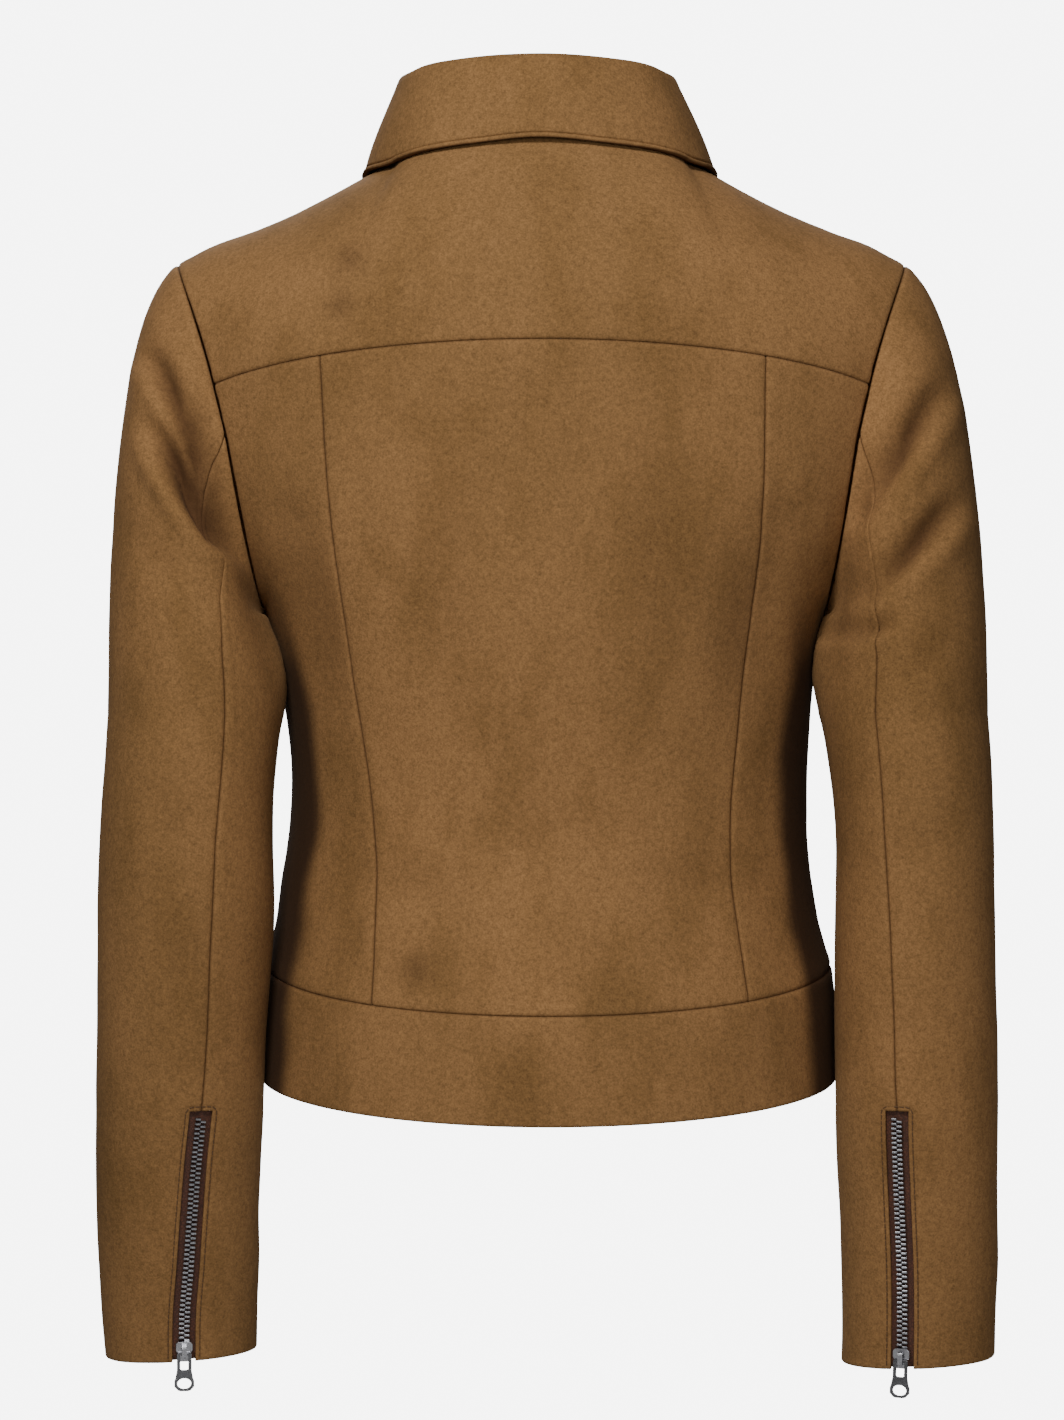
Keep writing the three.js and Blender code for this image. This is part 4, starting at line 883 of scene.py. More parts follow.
@dataclass
class BodyCloth:
    """Back, fronts, yoke and waistband.

    Attributes:
        back_creases: Soft troughs of the back, seen from behind.
        front_creases: Soft troughs of a front, x outwards.
    """

    back_creases: tuple[Crease, ...] = (
        Crease(3.2, 12, 16, ((-128, -225), (-112, -280), (-108, -345)), lip=0.8, start=0.5, end=0.1),
        Crease(3.0, 11, 15, ((132, -225), (120, -282), (116, -335)), lip=0.8, start=0.5, end=0.1),
        Crease(1.2, 16, 26, ((-70, -395), (-20, -388), (35, -398)), start=0.1, end=0.1),
        Crease(1.6, 12, 16, ((30, -434), (72, -422), (110, -408)), start=0.1, end=0.3),
        Crease(1.6, 13, 15, ((-115, -425), (-78, -415), (-44, -424)), start=0.3, end=0.1),
        Crease(1.5, 16, 20, ((-66, -168), (-60, -240), (-70, -310)), start=0.2, end=0.1),
        Crease(1.4, 15, 20, ((48, -190), (54, -250), (46, -320)), start=0.1, end=0.2),
    )
    front_creases: tuple[Crease, ...] = (
        Crease(2.2, 9, 14, ((150, -258), (112, -246), (78, -222)), facing=-1, start=0.6, end=0.1),
        Crease(1.6, 12, 16, ((146, -292), (108, -296), (70, -288)), facing=-1, start=0.4, end=0.1),
        Crease(1.4, 12, 18, ((40, -398), (84, -392), (128, -402)), facing=-1, start=0.1, end=0.3),
        Crease(1.2, 16, 22, ((52, -120), (60, -180), (56, -240)), facing=-1, start=0.1, end=0.1),
    )

    def back(self) -> list[bpy.types.Object]:
        """Make the back's five pieces."""
        low, high = HALF_BACK - PRINCESS, HALF_BACK + PRINCESS

        def centred(row: Array, off: Array) -> Array:
            """Points of the back, by columns from its middle."""
            return TORSO_FORM.back(row, off + HALF_BACK)

        def surface(row: Array, column: Array) -> Array:
            """Points of the back, with its levels eased."""
            return TORSO_FORM.eased(centred, row, np.asarray(column, float) - HALF_BACK, HALF_BACK)

        creases = self.back_creases
        band = (0, BAND_TOP)
        body = (BAND_TOP, CHEST)
        return [
            Panel("back_centre", (0, 1, 0), creases=creases).sew(cut(surface, body, (low, high))),
            Panel("back_side_right", (-0.6, 0.8, 0), creases=creases, pinned="start").sew(
                cut(surface, body, (0, low))),
            Panel("back_side_left", (0.6, 0.8, 0), creases=creases, pinned="end").sew(
                cut(surface, body, (high, 2 * HALF_BACK))),
            Panel("back_yoke", (0, 1, 0)).sew(
                cut(surface, (CHEST, CHEST + CROWN), (0, 2 * HALF_BACK))),
            Panel("waistband_back", (0, 1, 0), first=Edge.FREE, swell=0.35).sew(
                cut(surface, band, (0, 2 * HALF_BACK))),
        ]

    def front(self, side: int) -> list[bpy.types.Object]:
        """Make one front and its part of the waistband."""
        def surface(row: Array, column: Array) -> Array:
            """Points of this front, with its levels eased."""
            return TORSO_FORM.eased(plain, row, column, FRONT_COLUMNS)

        def plain(row: Array, column: Array) -> Array:
            """Points of this front."""
            return TORSO_FORM.front(row, column, side)

        columns = (0, FRONT_COLUMNS)
        suffix = SIDES[side]
        return [
            Panel(f"front_{suffix}", (0, -1, 0), start=Edge.FREE, creases=self.front_creases,
                  mirror=side, pinned="end").sew(cut(surface, (BAND_TOP, CHEST + CROWN), columns)),
            Panel(f"waistband_front_{suffix}", (0, -1, 0), first=Edge.FREE, start=Edge.FREE,
                  swell=0.35).sew(cut(surface, (0, BAND_TOP), columns)),
        ]


@dataclass
class SleeveCloth:
    """Top and under piece of one sleeve.

    Attributes:
        side: 1 for the wearer's left, -1 for the right.
        stitch_off: Distance of the stitch line from the cuff opening.
    """

    side: int
    stitch_off: float = 2.2

    def creases(self) -> tuple[Crease, ...]:
        """Troughs of this sleeve, x outwards."""
        if self.side > 0:
            seen = (
                Crease(14, 5, 15, ((160, -243), (177, -232), (193, -208), (204, -190), (215, -168)),
                       lip=4.4, start=0.35, end=0.1),
                Crease(8.5, 5, 9, ((189, -186), (197, -166), (208, -148), (221, -126)), lip=2.4,
                       start=0.2, end=0.1),
                Crease(5, 5, 8, ((176, -206), (184, -186), (190, -160)), lip=1.4, start=0.3,
                       end=0.1),
                Crease(2.4, 9, 14, ((205, -122), (196, -104), (190, -90)), start=0.2, end=0.1),
                Crease(1.6, 9, 14, ((180, -262), (205, -248), (228, -222)), lip=0.6, end=0.1),
                Crease(1.3, 12, 16, ((172, -395), (196, -388), (222, -372)), start=0.4, end=0.1),
                Crease(1.0, 12, 16, ((170, -470), (190, -462), (214, -466)), end=0.1),
            )
        else:
            seen = (
                Crease(9, 6, 11, ((172, -219), (187, -197), (203, -176), (226, -146)), lip=2.6,
                       start=0.5, end=0.1),
                Crease(9, 6, 10, ((176, -263), (206, -236), (231, -211)), lip=2.8, start=0.4, end=0.1),
                Crease(5, 4, 9, ((158, -285), (174, -285), (192, -280)), lip=1.6, start=0.8, end=0.1),
                Crease(1.6, 9, 13, ((182, -310), (204, -300), (226, -280)), end=0.1),
                Crease(1.4, 12, 16, ((176, -410), (202, -402), (230, -388)), start=0.4, end=0.1),
                Crease(1.0, 12, 16, ((180, -500), (202, -494), (226, -498)), end=0.1),
            )
        hidden = (
            Crease(5.5, 8, 12, ((164, -262), (184, -240), (206, -204)), lip=1.2, facing=-1, start=0.8),
            Crease(3, 9, 13, ((176, -215), (194, -186), (214, -154)), lip=0.6, facing=-1),
            Crease(2.2, 9, 12, ((160, -300), (186, -286), (216, -262)), lip=0.5, facing=-1),
            Crease(2.6, 9, 13, ((158, -404), (190, -394), (228, -400)), facing=-1, end=0.2),
            Crease(1.8, 9, 13, ((162, -440), (196, -436), (226, -444)), facing=-1, end=0.2),
            Crease(1.2, 12, 16, ((170, -560), (198, -552), (224, -560)), facing=-1),
        )
        return seen + hidden

    def grid(self, part: str, columns: tuple[float, float]) -> ClothGrid:
        """Cut one piece of the sleeve, with finer rows where the cuff opening ends.

        Args:
            part: Whether it is the top or the under piece.
            columns: First and last ring column.

        Returns:
            The cut piece.
        """
        form = SleeveForm(self.side)
        surface = form.surface(part)
        column = np.linspace(*columns, round((columns[1] - columns[0]) * 12) + 1)
        cap = surface(np.linspace(0, CAP_ROWS, 145)[:, None], column[None, :])
        length = np.linalg.norm(np.diff(cap, axis=0), axis=2).sum(axis=0).mean()
        cap, _ = respaced(cap, *spaced(length * 1.15, CELL, SEAM_STOPS, ()))
        z = form.rings[:, 0]
        top = z[SLOT_ROW - 1]
        heights = np.concatenate([
            np.arange(z[0], top + 6, -CELL), top + np.array([5, 3.4, 2.6, 2.0, 1.2, 0.6, 0]),
            np.arange(top - CELL, z[-1] + 6, -CELL), z[-1] + np.array([5, 3.2, 2, 1.1, 0.5, 0]),
        ])
        tube = surface(CAP_ROWS + form.row_at(heights)[:, None], column[None, :])
        points = np.concatenate([cap[:-1], tube])
        steps = np.linalg.norm(np.diff(points, axis=0), axis=2)
        run = np.vstack([np.zeros(points.shape[1]), np.cumsum(steps, axis=0)])
        values = np.concatenate([points, run[..., None], (run[-1] - run)[..., None]], axis=2)
        start, end = (SLOT_STOPS, SEAM_STOPS) if part == "top" else (SEAM_STOPS, SLOT_STOPS)
        return crossed(values, start, end)

    def sew(self) -> list[bpy.types.Object]:
        """Make both pieces of the sleeve."""
        suffix = SIDES[self.side]
        slot_top = RINGS[self.side][SLOT_ROW - 1, 0]
        made = []
        for part, columns, outward in (("top", (ELBOW_COLUMN, INNER_COLUMN), (self.side, 0, 0)),
                                       ("under", (INNER_COLUMN - RING_COLUMNS, ELBOW_COLUMN),
                                        (-self.side, 0, 0))):
            grid = self.grid(part, columns)
            seam_gap = grid.columns[..., 0 if part == "top" else 1]
            level = grid.points[..., 2]
            gap = np.hypot(np.maximum(seam_gap - SLOT_HALF, 0), np.maximum(level - slot_top, 0))
            opening = (-0.5 * np.exp(-(gap / 0.7) ** 2)
                       - 0.4 * np.exp(-((gap - self.stitch_off) / 0.6) ** 2))
            beyond = (level <= slot_top + 0.01) & (seam_gap <= SLOT_HALF + 0.01)
            removed = beyond[:-1, :-1] & beyond[1:, 1:] & beyond[1:, :-1] & beyond[:-1, 1:]
            panel = Panel(f"sleeve_{part}_{suffix}", outward, last=Edge.FREE,
                          creases=self.creases(), mirror=self.side, side_shaded=False, pinned="first")
            made.append(panel.sew(grid, opening, kept=~removed))
        return made


class CollarCloth:
    """The turn-down collar, from its foot on the neck seam over the fold to its rolled edge."""

    def __init__(self) -> None:
        """Keep points of the shoulders and chest that the fall has to stay off."""
        rows = np.arange(CHEST + 0.1, CHEST + CROWN, 0.1)[:, None]
        faces = [TORSO_FORM.back(rows, np.arange(0.4, 2 * HALF_BACK, 0.2)[None, :])]
        faces += [TORSO_FORM.front(rows, np.arange(0.2, FRONT_COLUMNS, 0.2)[None, :], side)
                  for side in SIDES]
        normals = []
        for face, ahead in zip(faces, (1, -1, -1)):
            normal = normals_of(face)
            away = normal[..., 1] * ahead + 0.7 * normal[..., 2]
            normals.append(normal * np.where(away < 0, -1.0, 1.0)[..., None])
        self.places = np.concatenate([face.reshape(-1, 3) for face in faces])
        self.outward = np.concatenate([normal.reshape(-1, 3) for normal in normals])
        self.tree = KDTree(len(self.places))
        for k, place in enumerate(self.places):
            self.tree.insert(place, k)
        self.tree.balance()

    def lifted(self, point: Array) -> Array:
        """Move a point of the fall clear of the shoulders and chest."""
        _, k, _ = self.tree.find(point)
        high = (point - self.places[k]) @ self.outward[k]
        return point + self.outward[k] * max(0.0, COLLAR_WALL + COLLAR_LIFT - high)

    def foot(self, degrees: float, side: int) -> Array:
        """Foot of the stand, just inside the neck seam."""
        if degrees <= 90:
            column = HALF_BACK + side * degrees / 15
            surface = TORSO_FORM.back
        else:
            column = (180 - degrees) / 15

            def surface(row: Array, at: Array) -> Array:
                """Points of this front."""
                return TORSO_FORM.front(row, at, side)
        top = CHEST + CROWN
        rows = np.array([top, top, top, top - 0.05])
        columns = np.array([column, column - 0.05, column + 0.05, column])
        here, one, two, lower = surface(rows, columns)
        through = unit(np.cross(two - one, here - lower))
        through = through if through @ (here - np.array([0, -12, -150])) > 0 else -through
        inward = unit(np.cross(two - one, through))
        inward = inward if inward[2] > 0 or inward @ here < 0 else -inward
        return here + 0.6 * inward - 2 * through

    def levels(self, turn: float) -> tuple[Array, Array]:
        """The collar's fold and the lower edge of its fall, in one direction."""
        side = -1 if turn < 0 else 1
        row = np.array(min(abs(turn), 180) / 30 + 1)
        read = [float(along(COLLAR_ROUND, k, row)) for k in range(7)]
        fold = np.array([side * read[1] + COLLAR_SWAY, read[2], read[3]])
        low = np.array([side * read[4] + COLLAR_SWAY / 2, read[5], read[6]])
        return fold, self.lifted(low)

    def line(self, turn: float) -> Array:
        """One line of the collar, from its foot to the lower edge of the fall."""
        side = -1 if turn < 0 else 1
        degrees = abs(turn)
        fold, low = self.levels(turn)
        spread = min(COLLAR_SPREAD, (180 - degrees) / 2)
        beside = [self.levels(turn + share * spread)[1] for share in (-1, -0.6, -0.3, 0.3, 0.6, 1)]
        low = (2 * low + sum(beside)) / (2 + len(beside))
        out = unit((low - fold) * np.array([1, 1, 0]))
        centre = fold - np.array([0, 0, FOLD_RADIUS])
        turns = np.radians(np.linspace(180, 0, 13))[:, None]
        bend = centre + FOLD_RADIUS * (out * np.cos(turns) + np.array([0, 0, 1]) * np.sin(turns))
        foot = self.foot(degrees, side)
        share = np.linspace(0, 1, 9)[:-1, None]
        stand = mixed(foot, bend[0], share)
        share = np.linspace(0, 1, 15)[1:, None]
        fall = mixed(bend[-1], low, share) + out * COLLAR_BULGE * np.sin(np.pi * share)
        return np.concatenate([stand, bend, np.array([self.lifted(p) for p in fall])])

    def sew(self) -> bpy.types.Object:
        """Make the collar."""
        turns = np.linspace(-180, 180, 181)
        lines = np.array([self.line(t) for t in turns])
        length = np.linalg.norm(np.diff(lines[:, -1], axis=0), axis=1).sum()
        values, gaps = respaced(lines, *spaced(length, CELL, LIP_STOPS, LIP_STOPS))
        grid = crossed(np.concatenate([values, gaps], axis=2), (), LIP_STOPS)
        edge = np.minimum(grid.columns[..., 1], grid.rows.min(axis=-1))
        groove = -1.0 * np.exp(-((edge - LIP_AT) / 0.42) ** 2)
        panel = Panel("collar", (0, 1, 0), Edge.FREE, Edge.FREE, Edge.FREE, Edge.FREE, swell=0.35,
                      held="folded")
        return panel.sew(grid, groove, COLLAR_WALL)


@dataclass(frozen=True)
class Course:
    """Places along a zip or a stitch line.

    Attributes:
        points: Where each thing sits, in millimetres.
        across: Unit directions across the line.
        ahead: Unit directions along the line.
        out: Unit directions out of the cloth.
    """

    points: Array
    across: Array
    ahead: Array
    out: Array

    @staticmethod
    def along_line(line: Array, beside: Array, pitch: float, outward: Array) -> "Course":
        """Step along a line at an even pitch.

        Args:
            line: Points of the line.
            beside: Points just beside it, on the same surface.
            pitch: Distance from one place to the next.
            outward: Rough direction out of the cloth.

        Returns:
            The places.
        """
        run = np.concatenate([[0], np.cumsum(np.linalg.norm(np.diff(line, axis=0), axis=1))])
        count = max(1, int(run[-1] // pitch))
        at = (np.arange(count) + 0.5) * run[-1] / count

        def read(values: Array) -> Array:
            """Values at the places."""
            return np.stack([np.interp(at, run, values[:, k]) for k in range(3)], axis=1)

        ahead = unit(read(np.gradient(line, axis=0)))
        across = unit(read(beside - line))
        out = unit(np.cross(across, ahead))
        out = out * np.where(out @ outward < 0, -1.0, 1.0)[:, None]
        return Course(read(line), unit(np.cross(ahead, out)), ahead, out)

    def shifted(self, across: float, ahead: float, out: float) -> Array:
        """The places, moved by millimetres in their own directions."""
        return self.points + self.across * across + self.ahead * ahead + self.out * out


def blocks(name: str, course: Course, centres: Array, size: tuple[float, float, float],
           bevel: float) -> bpy.types.Object:
    """Join many small rounded blocks, one at each place of a course, into one piece.

    Args:
        name: Name of the piece.
        course: Directions of the blocks.
        centres: Their centres, in millimetres.
        size: Across, along and out.
        bevel: Breadth of their rounded edges.

    Returns:
        The new object.
    """
    signs = np.array([[x, y, z] for x in (-1, 1) for y in (-1, 1) for z in (-1, 1)])
    frames = np.stack([course.across, course.ahead, course.out], axis=1)
    corners = centres[:, None, :] + np.einsum("ck,nkd->ncd", signs * np.array(size) / 2, frames)
    sides = np.array([[0, 1, 3, 2], [4, 6, 7, 5], [0, 4, 5, 1], [2, 3, 7, 6], [0, 2, 6, 4], [1, 5, 7, 3]])
    faces = (np.arange(len(centres))[:, None, None] * 8 + sides).reshape(-1, 4)
    mesh = bpy.data.meshes.new(name)
    mesh.from_pydata((corners.reshape(-1, 3) * MM).tolist(), [], faces.tolist())
    shaped = bmesh.new()
    shaped.from_mesh(mesh)
    bmesh.ops.recalc_face_normals(shaped, faces=shaped.faces)
    bmesh.ops.bevel(shaped, geom=shaped.edges[:], offset=bevel * MM, segments=1, affect="EDGES")
    shaped.to_mesh(mesh)
    shaped.free()
    piece = linked(name, mesh)
    return piece


def dressed(piece: bpy.types.Object, material: bpy.types.Material, slot: str, *nodes: str,
            body: str = BODY) -> bpy.types.Object:
    """Give a piece its material, its body and the solids that it stands for."""
    piece.data.materials.clear()
    piece.data.materials.append(material)
    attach(piece, body)
    if nodes:
        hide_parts(*nodes)
    log.info("%s: %d faces", piece.name, len(piece.data.polygons))
    return piece


@dataclass
class Zip:
    """A closed zip: tapes, two rows of teeth, slider and pull.

    Attributes:
        pitch: Distance from tooth to tooth on one side.
        tooth: Size of a tooth across, along and out of the cloth.
        reach: Distance of a tooth's middle from the zip's centre line.
        depth: Height of the teeth's middle, over the suede's outer face.
    """

    pitch: float = 2.6
    tooth: tuple[float, float, float] = (3.1, 1.3, 1.9)
    reach: float = 1.45
    depth: float = -0.65

    def teeth(self, name: str, node: str, line: Array, beside: Array, outward: Array) -> bpy.types.Object:
        """Make both rows of teeth in place of a chain's solid."""
        course = Course.along_line(line, beside, self.pitch, outward)
        rows = [course.shifted(self.reach, 0, self.depth),
                course.shifted(-self.reach, self.pitch / 2, self.depth)]
        double = Course(*(np.concatenate([v, v]) for v in (course.points, course.across, course.ahead,
                                                           course.out)))
        piece = blocks(name, double, np.concatenate(rows), self.tooth, 0.28)
        return dressed(piece, NickelFinish(wear=0.5).material(), "nickel", node)

    def tape(self, node: str, surface: Shape, rows: tuple[float, float], columns: tuple[float, float],
             outward: tuple[float, float, float]) -> bpy.types.Object:
        """Make one tape behind the opening."""
        grid = cut(surface, rows, columns, (), (), (), (), dense=8)
        grid.face(outward)
        grid.raise_by(np.full(grid.points.shape[:2], -TAPE_SEAT))
        piece = shell_mesh(node + "_cloth", grid, TAPE_WALL, {})
        dressed(piece, TapeFinish().material(), "zip_tape", node)
        width, length, area = grid.size()
        return piece

    def polished(self, node: str, body: str) -> bpy.types.Object:
        """Copy a metal solid with rounded edges, in place of it."""
        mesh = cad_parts[node].data.copy()
        mesh.name = node + "_metal"
        shaped = bmesh.new()
        shaped.from_mesh(mesh)
        bmesh.ops.remove_doubles(shaped, verts=shaped.verts, dist=1e-6)
        bmesh.ops.dissolve_limit(shaped, angle_limit=math.radians(2), verts=shaped.verts,
                                 edges=shaped.edges)
        sharp = [e for e in shaped.edges if e.is_manifold and e.calc_face_angle() > 0.6]
        bmesh.ops.bevel(shaped, geom=sharp, offset=0.22 * MM, segments=2, affect="EDGES",
                        clamp_overlap=True)
        shaped.to_mesh(mesh)
        shaped.free()
        piece = linked(node + "_metal", mesh)
        return dressed(piece, NickelFinish(wear=0.3).material(), "nickel", node, body=body)


@dataclass
class CuffZip(Zip):
    """Zip of one cuff opening, with the stitch line round it.

    Attributes:
        side: 1 for the wearer's left, -1 for the right.
        stitch: Size of a stitch across, along and out.
        stitch_pitch: Distance from stitch to stitch.
    """

    side: int = 1
    stitch: tuple[float, float, float] = (0.55, 2.5, 0.42)
    stitch_pitch: float = 3.2

    def build(self) -> None:
        """Make every piece of the zip."""
        suffix = SIDES[self.side]
        form = SleeveForm(self.side)
        hem = form.rings[-1, 0]
        rows = (float(form.row_at(-538)), float(form.row_at(hem + 1)))
        self.tape(f"cuff_tape_{suffix}", form.beside_seam, rows, (-TAPE_HALF, TAPE_HALF), (0, 1, 0))
        heights = np.linspace(form.rings[SLOT_ROW, 0] - 1.2, hem + 12.3, 60)
        at = form.row_at(heights)
        self.teeth(f"cuff_chain_{suffix}_teeth", f"cuff_chain_{suffix}", form.beside_seam(at, 0),
                   form.beside_seam(at, 1), np.array([0, 1, 0]))
        self.polished(f"cuff_slider_{suffix}", BODY)
        self.polished(f"cuff_pull_{suffix}", f"cuff_pull_{suffix}")
        self.stitch_line(form, hem)

    def stitch_line(self, form: SleeveForm, hem: float) -> None:
        """Sew the stitch line round the opening, with rounded upper corners."""
        edge = SLOT_HALF + 2.2
        top = form.rings[SLOT_ROW - 1, 0] + 2.4
        radius = 4.0
        turns = np.radians(np.linspace(0, 90, 8))
        arc = np.stack([edge - radius + radius * np.cos(turns), top - radius + radius * np.sin(turns)], 1)
        leg = np.stack([np.full(40, edge), np.linspace(hem + 2, top - radius, 40)], 1)
        half = np.concatenate([leg, arc[1:]])
        path = np.concatenate([half, half[::-1] * np.array([-1, 1])])
        line = form.beside_seam(form.row_at(path[:, 1]), path[:, 0])
        shift = np.gradient(path, axis=0)
        shift = np.stack([shift[:, 1], -shift[:, 0]], 1) / np.linalg.norm(shift, axis=1)[:, None]
        near = path + shift
        beside = form.beside_seam(form.row_at(near[:, 1]), near[:, 0])
        course = Course.along_line(line, beside, self.stitch_pitch, np.array([0, 1, 0]))
        name = f"cuff_stitches_{SIDES[self.side]}"
        piece = blocks(name, course, course.shifted(0, 0, -0.12), self.stitch, 0.12)
        dressed(piece, ThreadFinish().material(), "suede")


@dataclass
class FrontZip(Zip):
    """The hidden zip down the centre front."""

    def build(self) -> None:
        """Make every piece of the zip."""
        top = CHEST + CROWN - 0.12
        for side, suffix in SIDES.items():
            def surface(row: Array, x: Array, side: int = side) -> Array:
                """Points beside the centre front, under the opening and the front's edge."""
                row, x = np.broadcast_arrays(np.asarray(row, float), np.asarray(x, float))
                inner = TORSO_FORM.placket(row, side * np.minimum(x, FRONT_OPENING))
                near = TORSO_FORM.front(row, np.zeros_like(row), side)
                after = TORSO_FORM.front(row, np.ones_like(row), side)
                share = (x - FRONT_OPENING) / np.abs(after - near)[..., 0]
                return np.where((x <= FRONT_OPENING)[..., None], inner,
                                mixed(near, after, share[..., None]))
            self.tape(f"front_tape_{suffix}", surface, (0, top), (0.2, TAPE_HALF), (0, -1, 0))
        rows = np.linspace(0.1, CHEST + 3.4, 220)
        line = TORSO_FORM.placket(rows, np.full_like(rows, 0.0))
        self.teeth("front_chain_teeth", "front_chain", line,
                   TORSO_FORM.placket(rows, np.full_like(rows, 1.0)), np.array([0, -1, 0]))
        self.polished("front_slider", BODY)
        self.polished("front_pull", "front_pull")


class NodeKit:
    """Short calls for making and joining shader nodes."""

    def __init__(self, tree: bpy.types.NodeTree) -> None:
        """Work on one node tree."""
        self.tree = tree

    def add(self, kind: str, **inputs: object) -> bpy.types.Node:
        """Add a node; names that are sockets are joined or set, others are properties.

        Args:
            kind: Blender's name of the node, without ShaderNode.
            inputs: Sockets by name with spaces as underscores, or properties.

        Returns:
            The node.
        """
        node = self.tree.nodes.new("ShaderNode" + kind)
        for name, value in inputs.items():
            if hasattr(node, name) and name.islower():
                setattr(node, name, value)
        for name, value in inputs.items():
            if hasattr(node, name) and name.islower():
                continue
            wanted = int(name[1:]) if name[1:].isdigit() else name.replace("_", " ")
            socket = node.inputs[wanted]
            if isinstance(value, bpy.types.NodeSocket):
                self.tree.links.new(value, socket)
            else:
                socket.default_value = value
        return node

    def mix(self, share: object, one: object, two: object, blend: str = "MIX") -> bpy.types.NodeSocket:
        """Mix two colours."""
        node = self.add("Mix", data_type="RGBA", blend_type=blend, i0=share, i6=one, i7=two)
        return node.outputs[2]

    def ranged(self, value: object, low: float, high: float, to_low: float,
               to_high: float) -> bpy.types.NodeSocket:
        """Map a value from one range to another, clamped."""
        node = self.add("MapRange", i0=value, i1=low, i2=high, i3=to_low, i4=to_high)
        return node.outputs[0]

    def math(self, operation: str, one: object, two: object = 0.0) -> bpy.types.NodeSocket:
        """Work out one number from two."""
        return self.add("Math", operation=operation, i0=one, i1=two).outputs[0]

    def noise(self, place: object, scale: float, detail: float = 2.0,
              roughness: float = 0.5) -> bpy.types.NodeSocket:
        """Read a noise texture."""
        node = self.add("TexNoise", Vector=place, Scale=scale, Detail=detail, Roughness=roughness)
        return node.outputs[0]


Colour = tuple[float, float, float, float]


def linear(red: int, green: int, blue: int) -> Colour:
    """Turn a colour as seen on a screen into the shader's own numbers."""
    values = [v / 255 for v in (red, green, blue)]
    return (*(v / 12.92 if v <= 0.04045 else ((v + 0.055) / 1.055) ** 2.4 for v in values), 1.0)


def grain_group() -> bpy.types.NodeTree:
    """Node group of fine grain and soft patches, shared by suede and tape.

    Returns:
        The group: Fine Scale and Patch Scale in, Fine, Patch and Cloud out.
    """
    name = "leather_grain"
    if name in bpy.data.node_groups:
        return bpy.data.node_groups[name]
    tree = bpy.data.node_groups.new(name, "ShaderNodeTree")
    for socket, value in (("Fine Scale", 900.0), ("Patch Scale", 22.0)):
        made = tree.interface.new_socket(socket, in_out="INPUT", socket_type="NodeSocketFloat")
        made.default_value = value
    for socket in ("Fine", "Patch", "Cloud"):
        tree.interface.new_socket(socket, in_out="OUTPUT", socket_type="NodeSocketFloat")
    kit = NodeKit(tree)
    inside = tree.nodes.new("NodeGroupInput").outputs
    outside = tree.nodes.new("NodeGroupOutput").inputs
    place = kit.add("TexCoord").outputs["Object"]
    brushed = kit.add("Mapping", Vector=place, Scale=(1.0, 1.0, 0.5)).outputs[0]
    coarse = kit.math("MULTIPLY", inside["Fine Scale"], 0.38)
    one = kit.noise(place, inside["Fine Scale"], 2.0, 0.6)
    two = kit.noise(place, coarse, 3.0, 0.65)
    tree.links.new(kit.math("ADD", kit.math("MULTIPLY", one, 0.55), kit.math("MULTIPLY", two, 0.45)),
                   outside["Fine"])
    tree.links.new(kit.noise(brushed, inside["Patch Scale"], 4.0, 0.6), outside["Patch"])
    slow = kit.math("MULTIPLY", inside["Patch Scale"], 0.3)
    tree.links.new(kit.noise(brushed, slow, 3.0, 0.5), outside["Cloud"])
    return tree


def new_material(name: str) -> tuple[bpy.types.Material, NodeKit, bpy.types.Node]:
    material = bpy.data.materials.new(name)
    material.use_nodes = True
    return material, NodeKit(material.node_tree), material.node_tree.nodes["Principled BSDF"]


